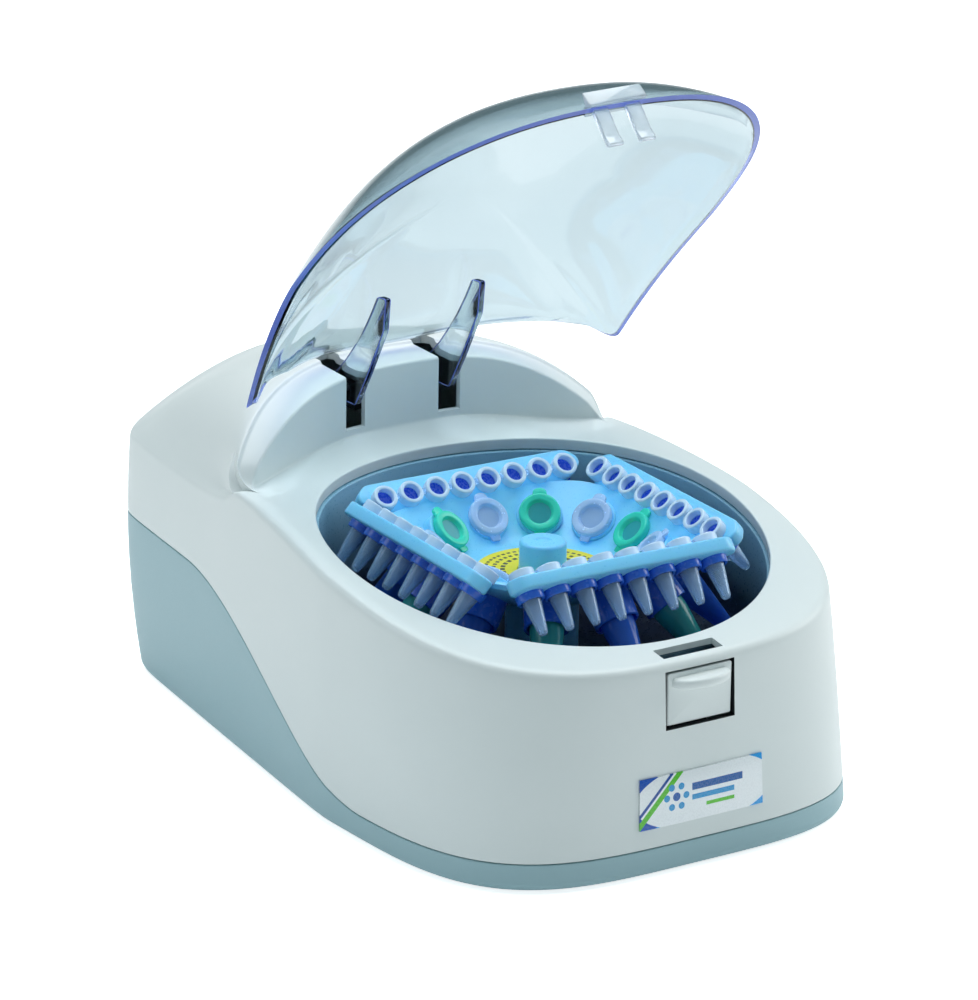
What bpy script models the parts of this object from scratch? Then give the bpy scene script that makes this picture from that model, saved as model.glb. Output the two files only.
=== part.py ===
"""Laboratory mini centrifuge with its clear lid open, for microtubes and strips of small tubes.

Sizes are in millimetres, measured from the rotor's axis at ground level: +X right, +Y rear, +Z up.
The empty "centrifuge" carries everything and stands the object on the middle of its footprint.
"""

import math

import bmesh
import bpy
from mathutils import Matrix, Vector

MM = 0.001
GAP = 0.3                    # clearance between touching pieces

# Body
AXIS_OFFSET = 33.4           # the rotor's axis lies this far in front of the footprint's middle
BASE_FRONT, FRONT_DRAFT = 83.5, 4.1
BASE_SIDE, SIDE_FLARE = 75.0, 1.9
REAR, REAR_HALF = 150.0, 54.0
DRAFT_HEIGHT = 80.0          # height over which the draft and the flare are measured
FRONT_SQUARENESS, ROUNDING = 3.7, 1.2        # exponent of the rounded square in front, and its loss upwards
BASE_BOTTOM, BASE_FLOOR = 1.0, 4.2
SEAM_FRONT, SEAM_REAR = 9.0, 51.0
SEAM_START, SEAM_END = -18.0, 97.0
WALL = 2.0
BOWL_RADIUS = 67.3
BOWL_FLOOR = 36.0
DECK_CURVE = (78.6, 11.7, -3.6, -2.4)   # height against distance back, in bowl radii
CORNER_ANGLE = 42.0          # polar angle of the two corners where the hump starts
FACE_RADIUS = 77.0           # the hump's hollow front face, round the rotor's axis
ARCH_HEIGHT, ARCH_DROP, ARCH_HALF = 109.0, 19.0, 60.0
STEP = 1.2                   # the hump's crown stands above the ledge that the lid swings over
SHOULDER, REAR_RISE = 76.0, 21.0
LIP_DEPTH = 3.5

# Polar angles of the body's columns, right half, front to rear
FRONT_COLUMNS = (-90, -79, -68, -58, -48, -38, -27, -14, 0, 14, 28, CORNER_ANGLE)
REAR_COLUMNS = (47, 53, 60, 66, 69, 70.4, 72, 79, 90)

# Lid and hinge
HINGE_Y, HINGE_Z = 85.0, 102.5
LID_OPEN = 57.4              # degrees from closed to the pose at rest
LID_WALL, LID_DOME = 2.0, 29.0
LID_FRONT, LID_SQUARENESS = 76.2, 2.47      # rim in front: reach, and exponent of its rounded square
ARM_X, ARM_THICKNESS = 17.0, 2.2
SLOT_WIDTH, SLOT_BOTTOM, SLOT_REAR = 7.4, 91.3, 97.5
PIN_RADIUS, PIN_HALF = 1.2, 19.6

# Latch
WINDOW_HALF, WINDOW_LOW, WINDOW_HIGH = 12.2, 43.8, 61.4
CATCH_HALF, CATCH_FRONT, CATCH_REAR = 10.5, -76.9, -71.3

# Rotor
ROTOR_TURN = -2.7            # degrees, how the rotor happens to stand
HUB_RADIUS, HUB_LOW, HUB_HIGH = 11.0, 42.0, 64.0
SHAFT_RADIUS = 1.5
DISC_RADIUS, DISC_Z = 20.0, 65.4
KNOB_RADIUS, KNOB_TOP = 7.1, 75.5
STRIP_MOUTH_R, STRIP_MOUTH_Z, STRIP_TILT = 38.25, 82.7, 41.9
STRIP_PITCH, STRIP_COUNT, STRIP_LENGTH = 9.0, 8, 20.3
FLANGE_TOP, FLANGE_THICKNESS, FLANGE_HALF = 3.0, 4.3, 38.5
FLANGE_IN, FLANGE_OUT = -4.4, 6.5
TUBE_RING_R, TUBE_RING_Z, TUBE_TILT = 30.3, 73.8, 45.0
TUBE_COUNT, TUBE_LENGTH, TUBE_CAP, TUBE_BODY = 12, 39.0, 6.3, 5.3


# ---------------------------------------------------------------- helpers

def linear(hex_colour):
    """Linear RGBA of an sRGB hex colour."""
    parts = [int(hex_colour[i:i + 2], 16) / 255 for i in (1, 3, 5)]
    return [c / 12.92 if c <= 0.04045 else ((c + 0.055) / 1.055) ** 2.4 for c in parts] + [1.0]


def finish(name, hex_colour, roughness, metallic=0.0, alpha=1.0):
    """A Principled material."""
    material = bpy.data.materials.new(name)
    material.use_nodes = True
    shader = material.node_tree.nodes["Principled BSDF"]
    shader.inputs["Base Color"].default_value = linear(hex_colour)
    shader.inputs["Roughness"].default_value = roughness
    shader.inputs["Metallic"].default_value = metallic
    shader.inputs["Alpha"].default_value = alpha
    return material


def tidy(work):
    """Merges coincident points and turns every face outwards."""
    bmesh.ops.remove_doubles(work, verts=work.verts, dist=1e-6)
    bmesh.ops.dissolve_degenerate(work, edges=work.edges, dist=1e-6)
    bmesh.ops.recalc_face_normals(work, faces=work.faces)


def add(name, work, material, parent, place=(0, 0, 0), turn=None, sharp=35):
    """Makes the object of a bmesh drawn in millimetres, at a place under its parent."""
    bmesh.ops.scale(work, vec=(MM, MM, MM), verts=work.verts)
    mesh = bpy.data.meshes.new(name)
    work.to_mesh(mesh)
    work.free()
    if sharp:
        mesh.shade_smooth()
        mesh.set_sharp_from_angle(angle=math.radians(sharp))
    mesh.materials.append(material)
    obj = bpy.data.objects.new(name, mesh)
    bpy.context.collection.objects.link(obj)
    obj.parent = parent
    obj.location = Vector(place) * MM
    if turn is not None:
        obj.rotation_euler = turn
    return obj


def combine(obj, work, operation, turn=None):
    """Cuts or joins a bmesh, drawn in the object's own frame, with a Boolean."""
    helper = add(f"{obj.name}_{operation.lower()}", work, obj.data.materials[0], obj, turn=turn)
    helper.hide_render = True
    helper.display_type = "WIRE"
    modifier = obj.modifiers.new(operation.title(), "BOOLEAN")
    modifier.operation = operation
    modifier.object = helper
    modifier.solver = "EXACT"
    return modifier


def loft(rings, closed=False):
    """Skins rings of equal length, each a closed loop. Single points close an end; closed joins last to first."""
    work = bmesh.new()
    rows = [[work.verts.new(point) for point in ring] for ring in rings]
    pairs = list(zip(rows, rows[1:])) + ([(rows[-1], rows[0])] if closed else [])
    for near, far in pairs:
        count = max(len(near), len(far))
        for i in range(count):
            j = (i + 1) % count
            if len(near) == 1:
                work.faces.new((near[0], far[j], far[i]))
            elif len(far) == 1:
                work.faces.new((near[i], near[j], far[0]))
            else:
                work.faces.new((near[i], near[j], far[j], far[i]))
    if not closed:
        for row in (rows[0], rows[-1]):
            if len(row) > 1:
                work.faces.new(row)
    tidy(work)
    return work


def circle(radius, z, sides):
    """A level ring of points; a single point where the radius is nothing."""
    if radius == 0:
        return [(0, 0, z)]
    return [(radius * math.cos(math.tau * i / sides), radius * math.sin(math.tau * i / sides), z)
            for i in range(sides)]


def turned(profile, sides=24, closed=False):
    """A solid turned from (radius, height) points."""
    return loft([circle(radius, z, sides) for radius, z in profile], closed)


def block(low, high, work=None):
    """A box between two corners, on its own or added to a bmesh."""
    work = work or bmesh.new()
    size = [b - a for a, b in zip(low, high)]
    middle = [(a + b) / 2 for a, b in zip(low, high)]
    bmesh.ops.create_cube(work, size=1, matrix=Matrix.Translation(middle) @ Matrix.Diagonal((*size, 1)))
    return work


def rod(radius, start, end, sides=12, work=None, end_radius=None):
    """A round bar or cone between two points, on its own or added to a bmesh."""
    work = work or bmesh.new()
    start, end = Vector(start), Vector(end)
    along = (end - start).to_track_quat("Z", "Y").to_matrix().to_4x4()
    bmesh.ops.create_cone(work, cap_ends=True, segments=sides, radius1=radius,
                          radius2=radius if end_radius is None else end_radius,
                          depth=(end - start).length,
                          matrix=Matrix.Translation((start + end) / 2) @ along)
    return work


def plate(outline, x_low, x_high, work=None):
    """A flat piece cut from a (y, z) outline, between two values of x."""
    work = work or bmesh.new()
    near = [work.verts.new((x_low, y, z)) for y, z in outline]
    far = [work.verts.new((x_high, y, z)) for y, z in outline]
    count = len(outline)
    faces = [work.faces.new(near), work.faces.new(far)]
    for i in range(count):
        j = (i + 1) % count
        faces.append(work.faces.new((near[i], near[j], far[j], far[i])))
    bmesh.ops.recalc_face_normals(work, faces=faces)
    return work


def coil(name, radius, wire, turns, pitch, axis, material, parent, place):
    """A round-wire spring as a bevelled curve, wound along X or Y."""
    curve = bpy.data.curves.new(name, "CURVE")
    curve.dimensions = "3D"
    curve.bevel_depth = wire * MM
    curve.bevel_resolution = 0
    curve.use_fill_caps = True
    steps = turns * 12
    spline = curve.splines.new("POLY")
    spline.points.add(steps)
    for i in range(steps + 1):
        angle = math.tau * i / 12
        along = pitch * (i / 12 - turns / 2)
        a, b = radius * math.cos(angle), radius * math.sin(angle)
        point = (along, a, b) if axis == "X" else (a, along, b)
        spline.points[i].co = (*(Vector(point) * MM), 1)
    curve.materials.append(material)
    obj = bpy.data.objects.new(name, curve)
    bpy.context.collection.objects.link(obj)
    obj.parent = parent
    obj.location = Vector(place) * MM
    return obj


def empty(name, parent, place=(0, 0, 0), turn=(0, 0, 0)):
    """An empty that carries a moving group on its joint's axis."""
    obj = bpy.data.objects.new(name, None)
    bpy.context.collection.objects.link(obj)
    obj.parent = parent
    obj.location = Vector(place) * MM
    obj.rotation_euler = [math.radians(a) for a in turn]
    return obj


def ease(value, start, end):
    """0 before start, 1 after end, smooth between."""
    t = min(max((value - start) / (end - start), 0), 1)
    return t * t * (3 - 2 * t)


# ---------------------------------------------------------------- surfaces of the body

def columns():
    """Polar angles all the way round, in radians, from the front and back to it."""
    right = [math.radians(a) for a in FRONT_COLUMNS + REAR_COLUMNS]
    return right + [math.pi - a for a in reversed(right[1:-1])]


def off_rear(angle):
    """Degrees between a column and the straight-back direction."""
    return abs(math.degrees(angle) - 90)


def is_hump(angle):
    return off_rear(angle) < 90 - CORNER_ANGLE - 0.1


def wall_radius(angle, z):
    """Outside of the body's wall: rounded square in front, tapering to a narrower block behind."""
    rise = z / DRAFT_HEIGHT
    side, front = BASE_SIDE + SIDE_FLARE * rise, BASE_FRONT - FRONT_DRAFT * rise
    back, across = math.sin(angle), abs(math.cos(angle))
    if back <= 0:
        power = FRONT_SQUARENESS - ROUNDING * rise
        return ((across / side) ** power + (-back / front) ** power) ** (-1 / power)
    bulge = ((z - SEAM_REAR) / SEAM_REAR) ** 2
    rear = REAR - (6 if z < SEAM_REAR else 3) * bulge
    taper = (side - REAR_HALF + 2 * bulge) / rear
    low, high = 40.0, 200.0
    for _ in range(30):
        middle = (low + high) / 2
        half = side - taper * (math.hypot(middle * back, 8) - 8)
        if (middle * across / half) ** 32 + (middle * back / rear) ** 32 < 1:
            low = middle
        else:
            high = middle
    return low


def seam_height(angle):
    y = wall_radius(angle, SEAM_FRONT) * math.sin(angle)
    return SEAM_FRONT + (SEAM_REAR - SEAM_FRONT) * ease(y, SEAM_START, SEAM_END)


def deck_height(angle, radius):
    """The deck slopes down to the front, and sweeps up to the hump's face behind the bowl."""
    y = radius * math.sin(angle)
    u = min(y, BOWL_RADIUS) / BOWL_RADIUS
    sweep = max(radius - BOWL_RADIUS, 0) / (FACE_RADIUS - BOWL_RADIUS)
    rise = 5 * min(sweep, 1) ** 2 * ease(off_rear(angle), 46, 12)
    return sum(c * u ** i for i, c in enumerate(DECK_CURVE)) + rise


def shoulder_height(angle):
    """Top of the side wall: the deck's rim in front, the hump's soft shoulder behind."""
    radius = wall_radius(angle, DRAFT_HEIGHT)
    x, y = radius * math.cos(angle), radius * math.sin(angle)
    if not is_hump(angle):
        return deck_height(angle, radius)
    crown = REAR_RISE * max(0, 1 - (abs(x) / REAR_HALF) ** 1.8)
    return SHOULDER + crown + 8.5 * math.exp(-(y - 59) / 14)


def face_radius(angle):
    corner = wall_radius(math.radians(CORNER_ANGLE), DRAFT_HEIGHT) - 2.5
    away = min(off_rear(angle) / (90 - CORNER_ANGLE), 1)
    return FACE_RADIUS + (corner - FACE_RADIUS) * away ** 2


def arch_height(angle):
    x = face_radius(angle) * math.cos(angle)
    return ARCH_HEIGHT - ARCH_DROP * (abs(x) / ARCH_HALF) ** 3


def ledge_width(angle):
    return 14.5 - 11 * (off_rear(angle) / (90 - CORNER_ANGLE)) ** 2


def rings_from(profile):
    """Turns one (radius, height) profile for each column into rings."""
    profiles = [(angle, profile(angle)) for angle in columns()]
    return [[(p[k][0] * math.cos(a), p[k][0] * math.sin(a), p[k][1]) for a, p in profiles]
            for k in range(len(profiles[0][1]))]


# ---------------------------------------------------------------- housing

def upper_profile(angle):
    """Closed section of the upper shell, from the seam outside, over the top and back inside."""
    low, top = seam_height(angle) + GAP / 2, shoulder_height(angle)
    middle = (low + top) / 2
    rim = wall_radius(angle, top)
    outside = [(wall_radius(angle, low), low), (wall_radius(angle, middle), middle),
               (wall_radius(angle, top - 2.5), top - 2.5), (rim - 0.8, top - 0.7), (rim - 2.5, top)]
    face, arch = face_radius(angle), arch_height(angle)
    if is_hump(angle):
        ledge, crown = face + ledge_width(angle), arch + STEP
        for share in (0.35, 0.7):
            radius = rim - 2.5 + (ledge + 0.8 - rim + 2.5) * share
            outside.append((radius, top + (crown - top) * (1 - (1 - share) ** 2)))
        outside += [(ledge + 0.8, crown), (ledge, arch + 0.2), (face + 0.8, arch), (face, arch - 0.8),
                    (face, deck_height(angle, face))]
        inside = [(face + WALL, deck_height(angle, face) - WALL), (face + WALL, arch - WALL),
                  (ledge + 2, arch - WALL), (ledge + 3.2, crown - 2.4),
                  ((ledge + rim) / 2, (top + 3 * crown) / 4 - 3.2), (rim - 2.4, top - 3.2)]
    else:
        outside += [outside[-1]] * 7
        inside = [(rim - 2.4, top - 2.4)] * 6
    out = outside[-1][0]
    for radius in ((out + BOWL_RADIUS) / 2, BOWL_RADIUS + 0.8):
        outside.append((radius, deck_height(angle, radius)))
    edge = deck_height(angle, BOWL_RADIUS)
    lip = [(BOWL_RADIUS, edge - 0.8), (BOWL_RADIUS, edge - LIP_DEPTH),
           (BOWL_RADIUS + WALL, edge - LIP_DEPTH), (BOWL_RADIUS + WALL, edge - WALL)]
    inside += [(wall_radius(angle, middle) - WALL, middle), (wall_radius(angle, low) - WALL, low)]
    return outside + lip + inside


POST_PLACES = ((-58, -50), (58, -50), (-40, 122), (40, 122))


def upper_housing(root, material):
    shell = add("upper_housing", loft(rings_from(upper_profile), closed=True), material, root)
    posts, holes, cuts = bmesh.new(), bmesh.new(), bmesh.new()
    for x, y in POST_PLACES:
        top = 67.9 if y < 0 else 94.5
        rod(4.2, (x, y, 5.2), (x, y, top), 10, posts)
        rod(1.8, (x, y, 1), (x, y, 20), 8, holes)
    combine(shell, posts, "UNION")
    combine(shell, holes, "DIFFERENCE")
    block((-WINDOW_HALF, -95, WINDOW_LOW), (WINDOW_HALF, -70, WINDOW_HIGH), cuts)
    block((-CATCH_HALF, CATCH_FRONT, 55), (CATCH_HALF, CATCH_REAR, 75), cuts)
    for side in (-1, 1):
        middle = side * ARM_X
        block((middle - SLOT_WIDTH / 2, 70, SLOT_BOTTOM), (middle + SLOT_WIDTH / 2, SLOT_REAR, 120), cuts)
    combine(shell, cuts, "DIFFERENCE").name = "Openings"
    return shell


def base_housing(root, material):
    """The tray that closes the body from below and rises to half height at the rear."""
    def profile(angle):
        top = seam_height(angle) - GAP / 2
        middle = (top + BASE_BOTTOM) / 2
        floor = BASE_FLOOR
        return [(wall_radius(angle, BASE_BOTTOM) - 0.8, BASE_BOTTOM), (wall_radius(angle, 2.5), 2.5),
                (wall_radius(angle, middle), middle), (wall_radius(angle, top), top),
                (wall_radius(angle, top) - WALL, top), (wall_radius(angle, middle) - WALL, middle),
                (wall_radius(angle, floor) - WALL - 0.4, floor)]
    tray = add("base_housing", loft(rings_from(profile)), material, root)
    cuts = bmesh.new()
    for x, y in POST_PLACES:
        rod(1.9, (x, y, 0), (x, y, 8), 8, cuts)
    block((-INLET_X - 4.8, 130, INLET_Z - 5.8), (-INLET_X + 4.8, 160, INLET_Z + 5.8), cuts)
    block((SWITCH_X - 6.8, 130, SWITCH_Z - 9.8), (SWITCH_X + 6.8, 160, SWITCH_Z + 9.8), cuts)
    combine(tray, cuts, "DIFFERENCE")
    return tray


def bowl_liner(root, material):
    """The chamber that the rotor spins in, with the motor shaft's hole in its floor."""
    def profile(angle):
        top = deck_height(angle, BOWL_RADIUS) - LIP_DEPTH - GAP
        return [(4.5, BOWL_FLOOR), (56, BOWL_FLOOR), (62, BOWL_FLOOR + 4), (64.6, 52), (66.4, top),
                (68.4, top), (66.6, 51), (64, BOWL_FLOOR + 2.6), (57, BOWL_FLOOR - 2.2),
                (4.5, BOWL_FLOOR - 2.2)]
    return add("bowl_liner", loft(rings_from(profile), closed=True), material, root)


# ---------------------------------------------------------------- lid

def lid_rim(angle):
    """Radius and height of the lid's lower edge, as it lies when closed."""
    back, across = math.sin(angle), abs(math.cos(angle))
    if is_hump(angle):
        return face_radius(angle) + 1.5, arch_height(angle) + 0.6
    side = wall_radius(0, deck_height(0, BASE_SIDE)) - 1.0
    if back > 0:
        radius = wall_radius(angle, shoulder_height(angle)) - 1.0
    else:
        power = LID_SQUARENESS
        radius = ((across / side) ** power + (-back / LID_FRONT) ** power) ** (-1 / power)
    return radius, deck_height(angle, radius) + 0.5


def lid_profile(angle):
    """Section of the open dome from its middle inside, out to the rim, and back over the roof."""
    radius, low = lid_rim(angle)
    forward = max(-math.sin(angle), 0)
    bend = 3.07 * (1 + 0.5 * forward ** 2)

    def plane(r):
        return 76.1 + 0.15 * r * math.sin(angle)

    rise = low - plane(radius)
    steep = 1 - ease(rise, 0, 12)
    outside, inside = [], []
    for share in (0, 0.03, 0.09, 0.18, 0.3, 0.5, 0.75):
        dome = LID_DOME * (1 - (1 - share) ** bend)
        bridged = (dome ** 6 + max(rise * (1 - share ** 2), 0) ** 6) ** (1 / 6)
        height = bridged * (1 - steep) + (dome + rise * (1 - share) ** 2) * steep
        r = radius * (1 - share)
        outside.append((r, plane(r) + height))
        drop = 0 if share == 0 else LID_WALL * (1 - 0.6 * steep * max(1 - share / 0.3, 0))
        inside.append(((radius - LID_WALL) * (1 - share), plane(r) + height - drop))
    if steep < 0.5:
        outside[0] = (radius, outside[0][1] + LID_WALL)
    return list(reversed(inside)) + outside


def lid_shell(lid, material):
    rings = rings_from(lid_profile)
    rings = [[(0, 0, 76.1 + LID_DOME - LID_WALL)]] + rings + [[(0, 0, 76.1 + LID_DOME)]]
    place = (0, -HINGE_Y, -HINGE_Z)
    rings = [[Vector(p) + Vector(place) for p in ring] for ring in rings]
    shell = add("lid_shell", loft(rings), material, lid, sharp=50)
    front, low = catch_datum()
    combine(shell, block((-10 - GAP, front - 3, low - 2), (10 + GAP, front + 5, low + 1.3 + GAP)), "DIFFERENCE")
    return shell


def lid_arm(name, side, lid, material):
    """A kite-shaped blade from the lid's roof to a boss round the hinge pin."""
    boss = [(4 * math.cos(a), 4 * math.sin(a)) for a in [math.radians(d) for d in (-70, -35, 0, 35, 70, 100)]]
    blade = [(-9, 3.4), (-17, 2.5), (-25, 1.1), (-33, 0.5), (-40, 0.6), (-43.5, -3.8), (-34, -8.4),
             (-17, -9.8), (-2.5, -10.4)]
    x = side * ARM_X
    work = plate(boss + blade, x - ARM_THICKNESS / 2, x + ARM_THICKNESS / 2)
    arm = add(name, work, material, lid)
    combine(arm, rod(PIN_RADIUS + GAP, (x - 5, 0, 0), (x + 5, 0, 0), 12), "DIFFERENCE")
    return arm


def catch_datum():
    """Where the lid's rim crosses the centre line in front, from the hinge: its outer face and lower edge."""
    radius, low = lid_rim(math.radians(-90))
    return -radius - HINGE_Y, low - HINGE_Z


def lid_catch(lid, material):
    """A clip through the lid's front rim with two springy prongs, slanted along the lid's swing."""
    front, low = catch_datum()
    clip = plate([(front - 0.9, low + 7.5), (front - 0.9, low + 0.3), (front + 4.3, low + 0.3),
                  (front + 4.3, low + 1.3), (front - GAP, low + 1.3), (front - GAP, low + 7.5)], -10, 10)
    catch = add("lid_catch", clip, material, lid)
    for side in (-1, 1):
        prong = plate([(front + 1.0, low + 1.1), (front + 2.8, low + 1.1), (front + 5.4, low - 11.6),
                       (front + 3.7, low - 11.8), (front + 3.5, low - 9)], side * 5.6 - 2.6, side * 5.6 + 2.6)
        combine(catch, prong, "UNION").name = f"Prong {side}"
    return catch


def hinge(root, lid, steel, plastic):
    pin = rod(PIN_RADIUS, (-PIN_HALF, 0, 0), (PIN_HALF, 0, 0), 12)
    add("hinge_pin", pin, steel, root, (0, HINGE_Y, HINGE_Z))
    for name, side in (("hinge_bracket_left", -1), ("hinge_bracket_right", 1)):
        outline = [(-1.9, -8), (6, -8), (6, -3), (3, 1.6), (-1.9, 1.6)]
        work = plate(outline, side * 11.2 - 1.6, side * 11.2 + 1.6)
        bracket = add(name, work, plastic, root, (0, HINGE_Y, HINGE_Z))
        bore = rod(PIN_RADIUS + 0.1, (side * 11.2 - 4, 0, 0), (side * 11.2 + 4, 0, 0), 12)
        combine(bracket, bore, "DIFFERENCE")
    coil("lid_spring", 2.0, 0.35, 6, 1.3, "X", steel, root, (0, HINGE_Y, HINGE_Z))


# ---------------------------------------------------------------- latch and label

def latch(root, plastic, steel):
    """The release button lies flush in the front wall; pressed, it pushes the lid's prongs free."""
    button = empty("latch_slide", root, (0, -80.5, 52.6))
    low, high = WINDOW_LOW - 52.6 + 0.9, WINDOW_HIGH - 52.6 - 0.7
    half = WINDOW_HALF - 0.9
    work = plate([(-0.6, low), (0.2, high), (2.6, high), (2.6, low)], -half, half)
    panel = add("latch_button", work, plastic, button)
    ledge = [(-9.8 * math.cos(a), -0.2 - 5.2 * math.sin(a)) for a in [math.pi * i / 10 for i in range(11)]]
    ledge = [(9.8, 1.4)] + [(-x, y) for x, y in ledge[::-1]][::-1] + [(-9.8, 1.4)]
    shelf = loft([[(x, y, z) for x, y in dict.fromkeys(ledge)] for z in (4.6, 6.4)])
    combine(panel, shelf, "UNION").name = "Ledge"
    pads = block((-8, 2, -0.5), (-3, 4.2, 1.9))
    block((3, 2, -0.5), (8, 4.2, 1.9), pads)
    combine(panel, pads, "UNION").name = "Pads"
    coil("latch_spring", 1.8, 0.3, 4, 0.8, "Y", steel, button, (0, 4.8, -4.8))
    frame = add("latch_bracket", block((-13.4, -71.0, 44), (13.4, -69.6, 51.5)), plastic, root)
    for side in (-1, 1):
        arm = block((side * 13.6 - 0.8, -77.2, 44), (side * 13.6 + 0.8, -69.6, 51.5))
        combine(frame, arm, "UNION").name = f"Arm {side}"


def front_label(root, material):
    """A thin plate that follows the front wall."""
    places = [math.radians(-90 + d) for d in (-14.8, -10, -5, 0, 5, 10, 14.8)]
    rings = []
    for z in (15.2, 30.6):
        outer = [wall_radius(a, z) + 0.55 for a in places]
        inner = [wall_radius(a, z) + GAP / 2 for a in reversed(places)]
        rings.append([(r * math.cos(a), r * math.sin(a), z)
                      for r, a in zip(outer + inner, places + places[::-1])])
    return add("front_label", loft(rings), material, root)


# ---------------------------------------------------------------- drive and electrics

INLET_X, INLET_Z = 28.0, 24.0
SWITCH_X, SWITCH_Z = 24.0, 26.0
REAR_LEAN = math.radians(6.8)


def drive(root, rotor, steel, dark, rubber):
    can = turned([(0, 10.1), (16.5, 10.1), (17.5, 11), (17.5, 29), (16.5, 30), (6, 30), (6, 32.4),
                  (0, 32.4)], 24)
    add("motor", can, steel, root)
    bracket = add("motor_bracket", block((-27, -27, 8.0), (27, 27, 9.8)), dark, root)
    holes = bmesh.new()
    for side in (-1, 1):
        rod(4.5, (side * 10, 0, 5), (side * 10, 0, 12), 10, holes)
    combine(bracket, holes, "DIFFERENCE")
    for i, (x, y) in enumerate(((-22, -22), (22, -22), (22, 22), (-22, 22)), 1):
        ring = turned([(0, 4.5), (4.2, 4.5), (3.4, 6.1), (4.2, 7.7), (0, 7.7)], 12)
        add(f"motor_isolator_{i}", ring, rubber, root, (x, y, 0))
    shaft = rod(SHAFT_RADIUS, (0, 0, 32.7), (0, 0, 61), 12)
    add("rotor_shaft", shaft, steel, rotor)


def electrics(root, dark, board_green, plastic, brass):
    board = add("control_board", block((-30, 92, 14), (30, 128, 15.6)), board_green, root)
    for low, high in (((-20, 98, 15), (-8, 110, 21)), ((6, 104, 15), (24, 112, 18))):
        combine(board, block(low, high), "UNION").name = f"Chip {low[0]}"
    fork = plate([(-3.6, 0), (3.6, 0), (3.6, 5), (1.6, 5), (1.6, 1.6), (-1.6, 1.6), (-1.6, 5), (-3.6, 5)],
                 -6, 6)
    add("lid_sensor", fork, dark, root, (0, -72, 37.5))

    inlet = block((-4.5, -14, -5.5), (4.5, 1.2, 5.5))
    socket = add("power_inlet", inlet, dark, root, (-INLET_X, wall_y(INLET_Z), INLET_Z), (-REAR_LEAN, 0, 0))
    rim = block((-6.5, 0.6, -7.5), (6.5, 1.9, 7.5))
    combine(socket, rim, "UNION")
    combine(socket, rod(2.8, (0, -9, 0), (0, 5, 0), 14), "DIFFERENCE")
    pin = rod(0.9, (0, -8.7, 0), (0, 0.6, 0), 8)
    add("inlet_pin", pin, brass, root, (-INLET_X, wall_y(INLET_Z), INLET_Z), (-REAR_LEAN, 0, 0))

    frame = block((-6.5, -12, -9.5), (6.5, 1.2, 9.5))
    housing = add("switch_housing", frame, dark, root, (SWITCH_X, wall_y(SWITCH_Z), SWITCH_Z),
                  (-REAR_LEAN, 0, 0))
    combine(housing, block((-8, 0.6, -11), (8, 1.9, 11)), "UNION")
    combine(housing, block((-4.6, -7, -8.6), (4.6, 5, 8.6)), "DIFFERENCE")
    rocker_place = (SWITCH_X, wall_y(SWITCH_Z), SWITCH_Z)
    rocker = plate([(-4.2, -3), (-4.2, 3), (0.6, 7.6), (2.2, 7.9), (1.0, 0), (2.2, -7.9), (0.6, -7.6)],
                   -4.2, 4.2)
    add("power_switch", rocker, plastic, root, rocker_place, (-REAR_LEAN - math.radians(8), 0, 0))


def wall_y(z):
    """How far back the rear wall stands at a height."""
    return wall_radius(math.radians(90), z)


def feet_and_screws(root, rubber, steel):
    for i, (x, y) in enumerate(((-52, -40), (52, -40), (40, 104), (-40, 104)), 1):
        foot = turned([(0, 0), (6.7, 0), (7, 0.3), (7, BASE_BOTTOM - GAP), (0, BASE_BOTTOM - GAP)], 16)
        add(f"rubber_foot_{i}", foot, rubber, root, (x, y, 0))
    for i, (x, y) in enumerate(POST_PLACES, 1):
        screw = turned([(0, 0.2), (2.8, 0.2), (3, 0.4), (3, BASE_BOTTOM - GAP), (1.5, BASE_BOTTOM - GAP),
                        (1.5, 16), (0, 17)], 10)
        add(f"housing_screw_{i}", screw, steel, root, (x, y, 0))


# ---------------------------------------------------------------- rotor

def along_strip(quarter, across, depth, up=0.0):
    """A point of a strip's frame: across the flange, down the tubes, and up its slope."""
    tilt, turn = math.radians(STRIP_TILT), quarter * math.pi / 2
    out = STRIP_MOUTH_R + depth * math.sin(tilt) + up * math.cos(tilt)
    z = STRIP_MOUTH_Z - depth * math.cos(tilt) + up * math.sin(tilt)
    return Matrix.Rotation(turn, 3, "Z") @ Vector((out, across, z))


def strip_places():
    return [STRIP_PITCH * (i - (STRIP_COUNT - 1) / 2) for i in range(STRIP_COUNT)]


def flange(quarter):
    """One sloping plate with clipped corners."""
    clip = 3.0
    outline = [(-FLANGE_HALF + clip + 4, FLANGE_IN), (FLANGE_HALF - clip - 4, FLANGE_IN),
               (FLANGE_HALF, FLANGE_IN + 5), (FLANGE_HALF, FLANGE_OUT - clip),
               (FLANGE_HALF - clip, FLANGE_OUT), (-FLANGE_HALF + clip, FLANGE_OUT),
               (-FLANGE_HALF, FLANGE_OUT - clip), (-FLANGE_HALF, FLANGE_IN + 5)]
    return loft([[along_strip(quarter, a, d, u) for a, u in outline]
                 for d in (FLANGE_TOP, FLANGE_TOP + FLANGE_THICKNESS)])


def tube_point(index, depth, aside=0.0):
    tilt, turn = math.radians(TUBE_TILT), math.tau * index / TUBE_COUNT
    out = TUBE_RING_R + depth * math.sin(tilt)
    return Matrix.Rotation(turn, 3, "Z") @ Vector((out, aside, TUBE_RING_Z - depth * math.cos(tilt)))


def squared(radius, squareness, z, sides=32):
    """A level ring that runs from a circle to a rounded square."""
    power = 2 + squareness
    ring = []
    for i in range(sides):
        angle = math.tau * i / sides
        size = (abs(math.cos(angle)) ** power + abs(math.sin(angle)) ** power) ** (-1 / power)
        ring.append((radius * size * math.cos(angle), radius * size * math.sin(angle), z))
    return ring


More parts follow.
